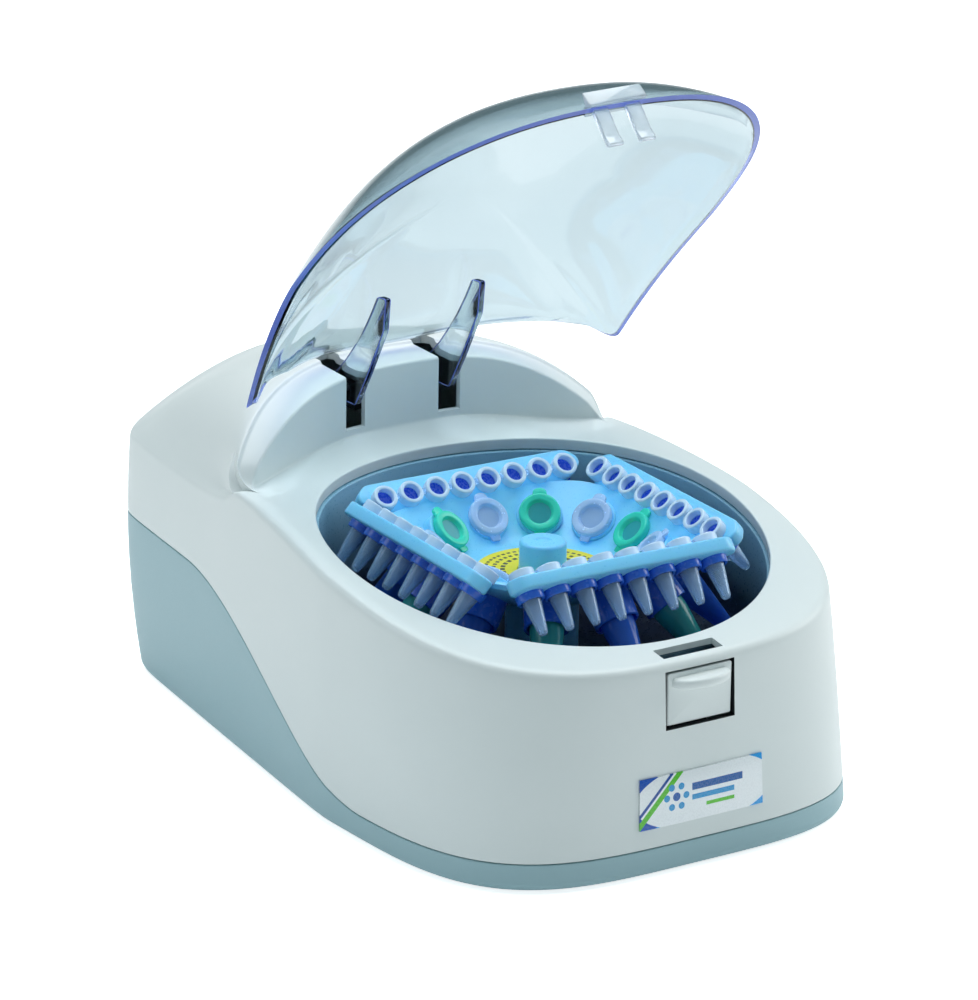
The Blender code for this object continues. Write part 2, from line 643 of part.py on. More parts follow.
def rotor_body(rotor, material):
    """Hub and dish, with four strip flanges at its edge and twelve slanted sleeves for microtubes."""
    dish = loft([[(0, 0, HUB_LOW)], squared(HUB_RADIUS, 0, HUB_LOW), squared(HUB_RADIUS, 0, 58),
                 squared(22, 0, 62.4), squared(30, 0.6, 66), squared(38.6, 3.5, 75.2),
                 squared(37.9, 3.5, 78.0), squared(31.0, 0.6, 70.4), squared(26, 0, 66.6),
                 squared(21.5, 0, DISC_Z), [(0, 0, DISC_Z - 0.8)]])
    body = add("rotor_body", dish, material, rotor)
    for quarter in range(4):
        combine(body, flange(quarter), "UNION").name = f"Flange {quarter}"
    sleeves, pockets, strip_holes = bmesh.new(), bmesh.new(), bmesh.new()
    for index in range(TUBE_COUNT):
        rod(7.0, tube_point(index, 2.6), tube_point(index, 15), 10, sleeves)
        rod(TUBE_BODY + 0.45, tube_point(index, 0), tube_point(index, 30), 10, pockets)
    for quarter in range(4):
        for across in strip_places():
            rod(3.5, along_strip(quarter, across, 0), along_strip(quarter, across, 12), 6, strip_holes)
    combine(body, sleeves, "UNION").name = "Sleeves"
    combine(body, pockets, "DIFFERENCE").name = "Pockets"
    combine(body, strip_holes, "DIFFERENCE").name = "Strip holes"
    combine(body, rod(SHAFT_RADIUS + GAP, (0, 0, 30), (0, 0, 61.4), 12), "DIFFERENCE").name = "Bore"
    return body


def strip(quarter, rotor, material):
    """Eight small tubes hanging from one rail."""
    tubes = bmesh.new()
    low, high = strip_places()[0] - 3.9, strip_places()[-1] + 3.9
    corners = [[along_strip(quarter, a, d, u) for a, u in ((low, -3.7), (high, -3.7), (high, 3.7), (low, 3.7))]
               for d in (0, 2.6)]
    rail = add(f"tube_strip_{quarter + 1}", loft(corners), material, rotor)
    for across in strip_places():
        rod(2.85, along_strip(quarter, across, 1), along_strip(quarter, across, STRIP_LENGTH), 8, tubes,
            end_radius=1.2)
    combine(rail, tubes, "UNION")
    return rail


def microtube(index, rotor, material):
    rings = []
    for depth, radius in ((0, TUBE_CAP - 0.5), (0.6, TUBE_CAP), (2.2, TUBE_CAP), (2.2, TUBE_BODY),
                          (19, TUBE_BODY - 0.3), (TUBE_LENGTH - 2, 1.9), (TUBE_LENGTH, 0.8)):
        middle = tube_point(index, depth)
        tilt, turn = math.radians(TUBE_TILT), math.tau * index / TUBE_COUNT
        frame = Matrix.Rotation(turn, 3, "Z") @ Matrix.Rotation(-tilt, 3, "Y")
        rings.append([middle + frame @ Vector(point) for point in circle(radius, 0, 12)])
    return add(f"microtube_{index + 1:02d}", loft(rings), material, rotor)


def rotor_fittings(rotor, blue, yellow):
    disc = turned([(KNOB_RADIUS + 0.4, DISC_Z + GAP), (DISC_RADIUS, DISC_Z + GAP),
                   (DISC_RADIUS, DISC_Z + GAP + 0.5), (KNOB_RADIUS + 0.4, DISC_Z + GAP + 0.5)], 32, True)
    add("warning_disc", disc, yellow, rotor)
    knob = turned([(0, DISC_Z + GAP), (KNOB_RADIUS, DISC_Z + GAP), (KNOB_RADIUS, KNOB_TOP - 1.2),
                   (KNOB_RADIUS - 1.2, KNOB_TOP), (0, KNOB_TOP)], 24)
    add("rotor_knob", knob, blue, rotor)


# ---------------------------------------------------------------- assembly

def build():
    for obj in list(bpy.data.objects):
        bpy.data.objects.remove(obj)

    pale = finish("pale_abs", "#DCE6E5", 0.38)
    shade = finish("blue_grey_abs", "#93B0BA", 0.4)
    liner = finish("bowl_plastic", "#8FB3BC", 0.4)
    clear = finish("clear_polycarbonate", "#D4E6EA", 0.05, alpha=0.3)
    rotor_blue = finish("rotor_nylon", "#3F9FEF", 0.35)
    knob_blue = finish("knob_nylon", "#4FB0F2", 0.3)
    yellow = finish("label_yellow", "#D6C81E", 0.5)
    frosted = finish("tube_polypropylene", "#D5E8F4", 0.2, alpha=0.45)
    mint = finish("tube_mint", "#4FE5C2", 0.25, alpha=0.8)
    steel = finish("steel", "#9AA0A4", 0.3, metallic=1.0)
    dark = finish("black_plastic", "#24282B", 0.5)
    rubber = finish("rubber", "#2B2D2F", 0.85)
    green = finish("circuit_board", "#1F5A3C", 0.5)
    brass = finish("brass", "#C9A04A", 0.3, metallic=1.0)
    label = finish("label_film", "#C9DDE6", 0.35)

    root = empty("centrifuge", None, (0, -AXIS_OFFSET, 0))
    lid = empty("lid_hinge", root, (0, HINGE_Y, HINGE_Z), (-LID_OPEN, 0, 0))
    rotor = empty("rotor_spin", root, (0, 0, 0), (0, 0, ROTOR_TURN))

    upper_housing(root, pale)
    base_housing(root, shade)
    bowl_liner(root, liner)
    lid_shell(lid, clear)
    lid_arm("lid_arm_left", -1, lid, clear)
    lid_arm("lid_arm_right", 1, lid, clear)
    lid_catch(lid, clear)
    hinge(root, lid, steel, dark)
    latch(root, pale, steel)
    front_label(root, label)
    drive(root, rotor, steel, dark, rubber)
    electrics(root, dark, green, pale, brass)
    feet_and_screws(root, rubber, steel)
    rotor_body(rotor, rotor_blue)
    rotor_fittings(rotor, knob_blue, yellow)
    for quarter in range(4):
        strip(quarter, rotor, frosted)
    for index in range(TUBE_COUNT):
        microtube(index, rotor, mint if index % 2 == 0 else frosted)


build()
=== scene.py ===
import math
import bmesh
import bpy
import numpy as np
from mathutils import Matrix, Vector


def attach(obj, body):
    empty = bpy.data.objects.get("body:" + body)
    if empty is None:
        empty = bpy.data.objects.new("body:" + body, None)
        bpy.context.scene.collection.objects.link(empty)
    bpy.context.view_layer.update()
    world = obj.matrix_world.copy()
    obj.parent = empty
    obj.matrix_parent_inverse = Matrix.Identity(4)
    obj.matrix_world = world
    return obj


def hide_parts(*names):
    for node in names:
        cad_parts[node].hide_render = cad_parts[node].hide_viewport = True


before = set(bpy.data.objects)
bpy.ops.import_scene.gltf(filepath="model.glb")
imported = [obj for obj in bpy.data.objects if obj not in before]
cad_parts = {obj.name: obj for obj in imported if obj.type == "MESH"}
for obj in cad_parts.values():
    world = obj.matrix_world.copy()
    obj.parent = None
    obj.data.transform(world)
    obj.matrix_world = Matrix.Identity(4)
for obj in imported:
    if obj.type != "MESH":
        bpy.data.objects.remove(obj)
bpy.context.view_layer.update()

# Lengths are in millimetres from the rotor's axis at bench level, as in the part's own drawing.
# The three frames below carry them to metres in the row frame.
mm = 0.001
hinge = {"y": 85.0, "z": 102.5, "open": 57.4}      # the lid swings about this line, degrees from closed
rotorTurn = -2.7                                   # degrees, how the rotor happens to stand
caseFrame = Matrix.Scale(mm, 4) @ Matrix.Translation((0, -33.4, 0))
lidFrame = (caseFrame @ Matrix.Translation((0, hinge["y"], hinge["z"]))
            @ Matrix.Rotation(math.radians(-hinge["open"]), 4, "X"))
rotorFrame = caseFrame @ Matrix.Rotation(math.radians(rotorTurn), 4, "Z")
sideways = Matrix(((0, 0, 1, 0), (1, 0, 0, 0), (0, 1, 0, 0), (0, 0, 0, 1)))   # draws (y, z) outlines, thick in x
facingFront = Matrix(((1, 0, 0, 0), (0, 0, -1, 0), (0, 1, 0, 0), (0, 0, 0, 1)))   # draws (x, z), thick towards -y


# Shapes are [points, faces, slots], joined into one mesh per piece

def ease(value, start, end):
    t = min(max((value - start) / (end - start), 0), 1)
    return t * t * (3 - 2 * t)


def skin(rings, loop=False, caps=(True, True), slot=0):
    rings = np.asarray(rings, float)
    rows, count = rings.shape[:2]
    points = [tuple(p) for ring in rings for p in ring]
    faces = []
    for i in range(rows if loop else rows - 1):
        a, b = i * count, (i + 1) % rows * count
        for j in range(count):
            k = (j + 1) % count
            faces.append((a + j, a + k, b + k, b + j))
    if not loop:
        for wanted, row in zip(caps, (0, rows - 1)):
            if wanted:
                middle = len(points)
                points.append(tuple(rings[row].mean(axis=0)))
                for j in range(count):      # a fan keeps the shading of a cap even
                    faces.append((row * count + j, row * count + (j + 1) % count, middle))
    return [points, faces, [slot] * len(faces)]


def joined(shapes):
    points, faces, slots = [], [], []
    for shape in shapes:
        start = len(points)
        points += list(shape[0])
        faces += [tuple(i + start for i in face) for face in shape[1]]
        slots += shape[2]
    return [points, faces, slots]


def moved(shape, matrix):
    return [[tuple(matrix @ Vector(p)) for p in shape[0]], shape[1], shape[2]]


def softened(points, closed=True, steps=4):
    # points are (x, y, radius); a radius of None keeps a plain point, a number gives the corner an arc
    made, count = [], len(points)
    for i, (x, y, radius) in enumerate(points):
        if radius is None or (not closed and i in (0, count - 1)):
            made.append((x, y))
            continue
        before, after = points[i - 1], points[(i + 1) % count]
        a, b = (before[0] - x, before[1] - y), (after[0] - x, after[1] - y)
        lengthA, lengthB = math.hypot(*a) or 1e9, math.hypot(*b) or 1e9
        cut = min(radius, 0.48 * math.hypot(*a), 0.48 * math.hypot(*b))
        start = (x + a[0] / lengthA * cut, y + a[1] / lengthA * cut)
        end = (x + b[0] / lengthB * cut, y + b[1] / lengthB * cut)
        for k in range(steps + 1):
            t = k / steps
            made.append(tuple((1 - t) ** 2 * p + 2 * t * (1 - t) * q + t * t * r
                              for p, q, r in zip(start, (x, y), end)))
    return made


def inset(outline, depth):
    # moves a closed outline inwards, whichever way round it runs
    area = sum(a[0] * b[1] - b[0] * a[1] for a, b in zip(outline, outline[1:] + outline[:1]))
    way = math.copysign(depth, area)
    made = []
    for before, here, after in zip(outline[-1:] + outline[:-1], outline, outline[1:] + outline[:1]):
        a = Vector((here[0] - before[0], here[1] - before[1]))
        b = Vector((after[0] - here[0], after[1] - here[1]))
        if a.length < 1e-6 or b.length < 1e-6:
            a = b = a + b
        a.normalize()
        b.normalize()
        side = Vector((-a.y - b.y, a.x + b.x))
        bend = max(1 + a.dot(b), 0.4)
        made.append((here[0] + side.x * way / bend, here[1] + side.y * way / bend))
    return made


def slab(outline, low, high, edge=0.4, slot=0):
    # a flat plate with rounded edges, drawn in (x, y) and thick in z
    rings = []
    for z, way in ((low, 1), (high, -1)):
        for k in range(4):
            angle = math.pi / 2 * k / 3
            rings.append([(x, y, z + way * edge * (1 - math.cos(angle)))
                          for x, y in inset(outline, edge * (1 - math.sin(angle)))])
    return skin(rings[:4] + rings[:3:-1], slot=slot)


def polygon(points, radius=1.0, steps=4):
    return softened([(x, y, radius) for x, y in points], steps=steps)


def turned(profile, sides=40, slot=0, loop=False):
    # a solid of (radius, height) points about z; ends on the axis close by themselves
    turns = [math.tau * i / sides for i in range(sides)]
    rings = [[(r * math.cos(a), r * math.sin(a), z) for a in turns] for r, z in profile]
    ends = (not loop and profile[0][0] > 0.01, not loop and profile[-1][0] > 0.01)
    return skin(rings, loop=loop, caps=ends, slot=slot)


def box(low, high, edge=0.3, slot=0):
    outline = polygon([(low[0], low[1]), (high[0], low[1]), (high[0], high[1]), (low[0], high[1])], edge, 3)
    return slab(outline, low[2], high[2], edge, slot)


def block(low, high):
    # a sharp-edged cutter
    return skin([[(low[0], low[1], z), (high[0], low[1], z), (high[0], high[1], z), (low[0], high[1], z)]
                 for z in (low[2], high[2])])


def meshOf(name, shape, matrix, finishes=(), sharp=32):
    mesh = bpy.data.meshes.new(name)
    mesh.from_pydata([tuple(matrix @ Vector(p)) for p in shape[0]], [], shape[1])
    work = bmesh.new()
    work.from_mesh(mesh)
    work.faces.ensure_lookup_table()
    for face, slot in zip(work.faces, shape[2]):
        face.material_index = slot
    bmesh.ops.remove_doubles(work, verts=work.verts, dist=2e-6)
    bmesh.ops.dissolve_degenerate(work, edges=work.edges, dist=1e-6)
    bmesh.ops.recalc_face_normals(work, faces=work.faces)
    work.to_mesh(mesh)
    work.free()
    for finish in finishes:
        mesh.materials.append(finish)
    mesh.shade_smooth()
    mesh.set_sharp_from_angle(angle=math.radians(sharp))
    piece = bpy.data.objects.new(name, mesh)
    bpy.context.scene.collection.objects.link(piece)
    return piece


def carve(piece, cutter, finish, sharp=32):
    # cuts the piece for good, so that its stored mesh is the finished one; the cut faces get the finish
    tool = meshOf(piece.name + "Cutter", cutter, caseFrame, [finish])
    cut = piece.modifiers.new("cut", "BOOLEAN")
    cut.material_mode = "TRANSFER"
    cut.operation, cut.object, cut.solver = "DIFFERENCE", tool, "EXACT"
    seen = bpy.context.evaluated_depsgraph_get()
    mesh = bpy.data.meshes.new_from_object(piece.evaluated_get(seen))
    piece.modifiers.clear()
    piece.data = mesh
    bpy.data.objects.remove(tool)
    mesh.shade_smooth()
    mesh.set_sharp_from_angle(angle=math.radians(sharp))


def place(name, shape, matrix, body, finishes, replaced=(), sharp=32):
    piece = meshOf(name, shape, matrix, finishes, sharp)
    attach(piece, body)
    if replaced:
        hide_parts(*replaced)
    return piece


# Materials

def linear(hexText, alpha=1.0):
    parts = [int(hexText[i:i + 2], 16) / 255 for i in (1, 3, 5)]
    return [c / 12.92 if c <= 0.04045 else ((c + 0.055) / 1.055) ** 2.4 for c in parts] + [alpha]


def addNode(tree, kind, settings=None, links=None):
    node = tree.nodes.new(kind)
    for key, value in (settings or {}).items():
        if isinstance(key, int) or key in node.inputs:
            node.inputs[key].default_value = value
        else:
            setattr(node, key, value)
    for key, source in (links or {}).items():
        tree.links.new(source, node.inputs[key])
    return node


def perMetre(sizeMm):
    return 1 / (sizeMm * mm)        # scale of a pattern whose cells are this big


def surface(name, look):
    # every finish has a fine grain in bump and roughness, and slow clouds in its colour
    material = bpy.data.materials.new(name)
    material.use_nodes = True
    tree = material.node_tree
    shader = tree.nodes["Principled BSDF"]
    shader.inputs["Metallic"].default_value = look.get("metallic", 0.0)
    shader.inputs["Transmission Weight"].default_value = look.get("clear", 0.0)
    shader.inputs["Subsurface Weight"].default_value = look.get("glow", 0.0)
    shader.inputs["Subsurface Scale"].default_value = look.get("glowMm", 1.0) * mm
    if "ior" in look:
        shader.inputs["IOR"].default_value = look["ior"]
    if "coat" in look:
        shader.inputs["Coat Weight"].default_value = look["coat"]
        shader.inputs["Coat Roughness"].default_value = 0.08
    where = addNode(tree, "ShaderNodeTexCoord")
    stretched = addNode(tree, "ShaderNodeMapping", {"Scale": look.get("stretch", (1, 1, 1))},
                        {"Vector": where.outputs["Object"]})
    grain = addNode(tree, "ShaderNodeTexNoise", {"Scale": perMetre(look["grainMm"]), "Detail": 2.0},
                    {"Vector": stretched.outputs[0]})
    cloud = addNode(tree, "ShaderNodeTexNoise", {"Scale": perMetre(look["cloudMm"]), "Detail": 3.0},
                    {"Vector": where.outputs["Object"]})
    low, high = look["rough"]
    rough = addNode(tree, "ShaderNodeMapRange", {"From Min": 0.3, "From Max": 0.7, "To Min": low, "To Max": high},
                    {"Value": grain.outputs["Fac"]})
    tree.links.new(rough.outputs[0], shader.inputs["Roughness"])
    colour = addNode(tree, "ShaderNodeMix", {"data_type": "RGBA", 6: linear(look["colour"]),
                                             7: linear(look.get("cloudColour", look["colour"]))},
                     {0: cloud.outputs["Fac"]})
    tree.links.new(colour.outputs[2], shader.inputs["Base Color"])
    bump = addNode(tree, "ShaderNodeBump", {"Strength": look.get("bump", 0.3), "Distance": look["depthMm"] * mm},
                   {"Height": grain.outputs["Fac"]})
    tree.links.new(bump.outputs[0], shader.inputs["Normal"])
    if "lamps" in look:
        # lamps shine through clear plastic instead of leaving it a black shadow
        through = addNode(tree, "ShaderNodeBsdfTransparent", {"Color": linear(look["lamps"])})
        path = addNode(tree, "ShaderNodeLightPath")
        mixed = addNode(tree, "ShaderNodeMixShader", {}, {0: path.outputs["Is Shadow Ray"],
                                                          1: shader.outputs[0], 2: through.outputs[0]})
        tree.links.new(mixed.outputs[0], tree.nodes["Material Output"].inputs["Surface"])
    return material


# Injection-moulded ABS with a fine spark-eroded grain: satin, with soft broad highlights
paleAbs = surface("paleAbs", {"colour": "#E6EBEA", "cloudColour": "#DEE6E5", "rough": (0.30, 0.42),
                              "grainMm": 0.45, "depthMm": 0.02, "cloudMm": 70, "bump": 0.35})
# The same ABS, dyed blue-grey: darker base that reads as a second shell
blueGreyAbs = surface("blueGreyAbs", {"colour": "#A3C2C9", "cloudColour": "#97B9C1", "rough": (0.32, 0.44),
                                      "grainMm": 0.45, "depthMm": 0.02, "cloudMm": 70, "bump": 0.35})
# Moulded bowl, polished tool: a little glossier; its wall grades from light to dark through the painted shade added
# further on
bowlAbs = surface("bowlAbs", {"colour": "#96C3DA", "cloudColour": "#8ABAD3", "rough": (0.26, 0.36),
                              "grainMm": 0.7, "depthMm": 0.015, "cloudMm": 50, "bump": 0.25})
# Clear polycarbonate, moulded and polished: hard sparkles, faint flow marks, pale where two walls overlap
clearPolycarbonate = surface("clearPolycarbonate", {"colour": "#D3E0E5", "cloudColour": "#C8D8DE",
                             "rough": (0.02, 0.07), "grainMm": 9, "depthMm": 0.03, "cloudMm": 60, "bump": 0.15,
                             "clear": 1.0, "ior": 1.45, "lamps": "#E6EFF2"})
# Painted glow: the cut edge of the same sheet is coloured blue-violet for the light it gathers
paintedEdgeGlow = surface("paintedEdgeGlow", {"colour": "#6C82F0", "cloudColour": "#8FA2F8",
                            "rough": (0.10, 0.22), "grainMm": 3, "depthMm": 0.03, "cloudMm": 25, "bump": 0.2,
                            "clear": 0.35, "ior": 1.45, "lamps": "#C9D0F5"})
# Dyed nylon, moulded: saturated, soft satin, light bleeds a little at its edges
rotorNylon = surface("rotorNylon", {"colour": "#86D5FA", "cloudColour": "#74C9F8", "rough": (0.26, 0.38),
                                    "grainMm": 0.6, "depthMm": 0.015, "cloudMm": 30, "bump": 0.3,
                                    "glow": 0.25, "glowMm": 3.0})
# The rotor's nylon for the sleeves and collars, coloured a darker deep blue: painted shade under the flange and down in
# the bowl; glossy
sleeveNylonPaintedShade = surface("sleeveNylonPaintedShade", {"colour": "#3474E6", "cloudColour": "#2A63D8", "rough": (0.18, 0.30),
                                      "grainMm": 1.6, "depthMm": 0.01, "cloudMm": 20, "bump": 0.12,
                                      "coat": 0.4})
# Clear polypropylene, moulded thin: bright streaks down each little tube; its milky rims are a lighter copy, a painted
# highlight
clearPolypropylene = surface("clearPolypropylene", {"colour": "#CFE6FB", "cloudColour": "#BBD9F6",
                             "rough": (0.06, 0.16), "grainMm": 1.2, "depthMm": 0.02, "cloudMm": 12, "bump": 0.2,
                             "clear": 0.72, "ior": 1.42, "lamps": "#F0F8FC"})
# Frosted polypropylene of the larger tubes: cloudier than the strips
frostedPolypropylene = surface("frostedPolypropylene", {"colour": "#CFE6FF", "cloudColour": "#BFDCFD",
                               "rough": (0.16, 0.28), "grainMm": 1.0, "depthMm": 0.02, "cloudMm": 14, "bump": 0.25,
                               "clear": 0.35, "ior": 1.4, "lamps": "#CBE2F5"})
# Mint-dyed polypropylene: glossy, bright on the cap's rim; its recess is darker through a painted shade copy below
mintPolypropylene = surface("mintPolypropylene", {"colour": "#45E8CC", "cloudColour": "#38D9C2",
                            "rough": (0.14, 0.26), "grainMm": 1.0, "depthMm": 0.02, "cloudMm": 14, "bump": 0.25,
                            "clear": 0.15, "ior": 1.4, "lamps": "#8FE0CE"})
# Painted highlight: a lighter copy of the same polypropylene round each mouth, nearly white for the light caught edge
# on, with a wet sparkle
rimPaintedHighlight = surface("rimPaintedHighlight", {"colour": "#E9F4FE", "cloudColour": "#D6EAFB", "rough": (0.08, 0.18),
                           "grainMm": 1.0, "depthMm": 0.02, "cloudMm": 6, "bump": 0.2, "clear": 0.2, "ior": 1.42,
                           "lamps": "#E4F2FA"})
# Painted shade: a flat disc across each tube's bore, coloured as a deep blue well looking down into dyed nylon
shadedMouth = surface("shadedMouth", {"colour": "#2A4FC8", "cloudColour": "#1F3FB0", "rough": (0.2, 0.35),
                      "grainMm": 0.8, "depthMm": 0.01, "cloudMm": 6})
# Painted shade: thin webs of the caps, coloured darker for the shaded inside of the tube showing through
mintRecessPaintedShade = surface("mintRecessPaintedShade", {"colour": "#35A5AC", "cloudColour": "#2E98A4", "rough": (0.12, 0.24),
                     "grainMm": 0.9, "depthMm": 0.02, "cloudMm": 8, "coat": 0.3})
frostedRecessPaintedShade = surface("frostedRecessPaintedShade", {"colour": "#A5C0E6", "cloudColour": "#94B2DE", "rough": (0.12, 0.24),
                        "grainMm": 0.9, "depthMm": 0.02, "cloudMm": 8, "coat": 0.3})
# Tube walls below the rotor, glossy and half clear: the mint ones their dye darkened to teal, painted shade and the
# painted blue of the nylon round them; the clear ones painted blue, a painted reflection of that nylon
mintBarrelPaintedShadeAndBlue = surface("mintBarrelPaintedShadeAndBlue", {"colour": "#43BDB8", "cloudColour": "#34A8AC", "rough": (0.08, 0.2),
                     "grainMm": 1.4, "depthMm": 0.02, "cloudMm": 14, "clear": 0.3, "ior": 1.42, "lamps": "#7CC8C4"})
blueBarrelPaintedReflection = surface("blueBarrelPaintedReflection", {"colour": "#4484F2", "cloudColour": "#3370E4", "rough": (0.08, 0.2),
                     "grainMm": 1.4, "depthMm": 0.02, "cloudMm": 14, "clear": 0.4, "ior": 1.42, "lamps": "#9DB8F0"})
# Turned and ground steel: a streaky metallic sheen
turnedSteel = surface("turnedSteel", {"colour": "#B9BDC0", "cloudColour": "#A7ACB0", "rough": (0.22, 0.38),
                                      "grainMm": 0.8, "depthMm": 0.01, "cloudMm": 20, "metallic": 1.0,
                                      "stretch": (1, 1, 8)})
# Glass-filled nylon, moulded: near-black and matt, with a coarse grain
blackNylon = surface("blackNylon", {"colour": "#26292C", "cloudColour": "#1E2124", "rough": (0.42, 0.6),
                                    "grainMm": 0.5, "depthMm": 0.03, "cloudMm": 25, "bump": 0.4})
# Moulded rubber: dull, slightly dusty
footRubber = surface("footRubber", {"colour": "#303234", "cloudColour": "#3A3C3E", "rough": (0.7, 0.9),
                                    "grainMm": 0.9, "depthMm": 0.04, "cloudMm": 8, "bump": 0.5})
# Glass-epoxy board under green solder mask: glossy, with a faint weave
solderMask = surface("solderMask", {"colour": "#1F6B43", "cloudColour": "#1B5F3B", "rough": (0.2, 0.35),
                                    "grainMm": 0.6, "depthMm": 0.02, "cloudMm": 10, "stretch": (3, 1, 1)})
# Turned brass contact: warm and bright
turnedBrass = surface("turnedBrass", {"colour": "#D9B35C", "cloudColour": "#CDA64F", "rough": (0.18, 0.3),
                                      "grainMm": 0.5, "depthMm": 0.01, "cloudMm": 6, "metallic": 1.0,
                                      "stretch": (1, 6, 1)})


def printedDisc():
    # Yellow printed film: satin, with dark generic bars round the knob, and no lettering
    material = surface("yellowFilm", {"colour": "#E6D810", "cloudColour": "#DCCB0C", "rough": (0.3, 0.45),
                                      "grainMm": 0.5, "depthMm": 0.01, "cloudMm": 15})
    tree = material.node_tree
    shader = tree.nodes["Principled BSDF"]
    plain = shader.inputs["Base Color"].links[0].from_socket
    where = addNode(tree, "ShaderNodeTexCoord")
    centred = addNode(tree, "ShaderNodeVectorMath", {"operation": "SUBTRACT", 1: (0, -33.4 * mm, 0)},
                      {0: where.outputs["Object"]})
    parts = addNode(tree, "ShaderNodeSeparateXYZ", {}, {0: centred.outputs[0]})
    flat = addNode(tree, "ShaderNodeCombineXYZ", {}, {0: parts.outputs[0], 1: parts.outputs[1]})
    reach = addNode(tree, "ShaderNodeVectorMath", {"operation": "LENGTH"}, {0: flat.outputs[0]})
    turn = addNode(tree, "ShaderNodeMath", {"operation": "ARCTAN2"}, {0: parts.outputs[1], 1: parts.outputs[0]})
    marks = None
    for inner, outer, repeats, share in ((11.2, 12.6, 30, 0.62), (14.0, 15.2, 42, 0.55), (16.6, 17.6, 52, 0.6)):
        wave = addNode(tree, "ShaderNodeMath", {"operation": "MULTIPLY", 1: repeats / math.tau},
                       {0: turn.outputs[0]})
        saw = addNode(tree, "ShaderNodeMath", {"operation": "FRACT"}, {0: wave.outputs[0]})
        dash = addNode(tree, "ShaderNodeMath", {"operation": "LESS_THAN", 1: share}, {0: saw.outputs[0]})
        ring = addNode(tree, "ShaderNodeMath", {"operation": "COMPARE", 1: (inner + outer) / 2 * mm,
                                                2: (outer - inner) / 2 * mm}, {0: reach.outputs["Value"]})
        both = addNode(tree, "ShaderNodeMath", {"operation": "MULTIPLY"}, {0: dash.outputs[0], 1: ring.outputs[0]})
        marks = both if marks is None else addNode(tree, "ShaderNodeMath", {"operation": "MAXIMUM"},
                                                   {0: marks.outputs[0], 1: both.outputs[0]})
    inked = addNode(tree, "ShaderNodeMix", {"data_type": "RGBA", 7: linear("#2B2A18")},
                    {0: marks.outputs[0], 6: plain})
    tree.links.new(inked.outputs[2], shader.inputs["Base Color"])
    return material


def printedLabel():
    # Printed film with a metallic sheen: pale panel, blue corners, two slanted stripes and plain bars
    material = surface("labelFilm", {"colour": "#FAFCFD", "cloudColour": "#F0F6FA", "rough": (0.22, 0.34),
                                     "grainMm": 0.4, "depthMm": 0.008, "cloudMm": 16, "coat": 0.4})
    tree = material.node_tree
    shader = tree.nodes["Principled BSDF"]
    colour = shader.inputs["Base Color"].links[0].from_socket
    where = addNode(tree, "ShaderNodeTexCoord")
    parts = addNode(tree, "ShaderNodeSeparateXYZ", {}, {0: where.outputs["Object"]})
    across, up = parts.outputs[0], parts.outputs[2]

    def disc(x, z, radius, stretch=1.0):
        point = addNode(tree, "ShaderNodeCombineXYZ", {}, {0: across, 1: up})
        away = addNode(tree, "ShaderNodeVectorMath", {"operation": "SUBTRACT", 1: (x * mm, z * mm, 0)},
                       {0: point.outputs[0]})
        shaped = addNode(tree, "ShaderNodeVectorMath", {"operation": "MULTIPLY", 1: (1, stretch, 1)},
                         {0: away.outputs[0]})
        far = addNode(tree, "ShaderNodeVectorMath", {"operation": "LENGTH"}, {0: shaped.outputs[0]})
        return addNode(tree, "ShaderNodeMath", {"operation": "LESS_THAN", 1: radius * mm},
                       {0: far.outputs["Value"]}).outputs[0]

    def band(slope, low, high):
        # between two parallel lines: z + slope * x from low to high
        slid = addNode(tree, "ShaderNodeMath", {"operation": "MULTIPLY_ADD", 1: slope}, {0: across, 2: up})
        return addNode(tree, "ShaderNodeMath", {"operation": "COMPARE", 1: (low + high) / 2 * mm,
                                                2: (high - low) / 2 * mm}, {0: slid.outputs[0]}).outputs[0]

    def both(a, b, how="MULTIPLY"):
        return addNode(tree, "ShaderNodeMath", {"operation": how}, {0: a, 1: b}).outputs[0]

    def paint(base, mask, hexText):
        return addNode(tree, "ShaderNodeMix", {"data_type": "RGBA", 7: linear(hexText)},
                       {0: mask, 6: base}).outputs[2]

    def bar(x, z, halfWide, halfTall):
        wide = addNode(tree, "ShaderNodeMath", {"operation": "COMPARE", 1: x * mm, 2: halfWide * mm}, {0: across})
        tall = addNode(tree, "ShaderNodeMath", {"operation": "COMPARE", 1: z * mm, 2: halfTall * mm}, {0: up})
        return both(wide.outputs[0], tall.outputs[0])

    oval = disc(1.0, 23.0, 24.5, 2.4)
    rest = addNode(tree, "ShaderNodeMath", {"operation": "SUBTRACT", 0: 1.0}, {1: oval}).outputs[0]
    colour = paint(colour, rest, "#2AA0EA")
    colour = paint(colour, both(rest, band(-0.9, 30.0, 60.0)), "#1B56B8")
    colour = paint(colour, band(-1.0, 37.2, 39.6), "#5CC62C")
    colour = paint(colour, band(-1.0, 40.6, 41.9), "#1D4FA0")
    for i in range(6):          # a ring of dots stands for the tubes in a rotor
        angle = math.tau * i / 6
        colour = paint(colour, disc(-9.0 + 3.4 * math.cos(angle), 23.4 + 3.4 * math.sin(angle), 1.05), "#2E9BD6")
    colour = paint(colour, disc(-9.0, 23.4, 1.3), "#1D5FB0")
    for x, z, halfWide, halfTall, ink in ((5.5, 25.4, 9.0, 1.1, "#1D5FA8"), (4.0, 22.2, 7.5, 0.8, "#2E9BD6"),
                                          (6.5, 19.4, 5.0, 0.55, "#5CC62C")):
        colour = paint(colour, bar(x, z, halfWide, halfTall), ink)
    tree.links.new(colour, shader.inputs["Base Color"])
    return material
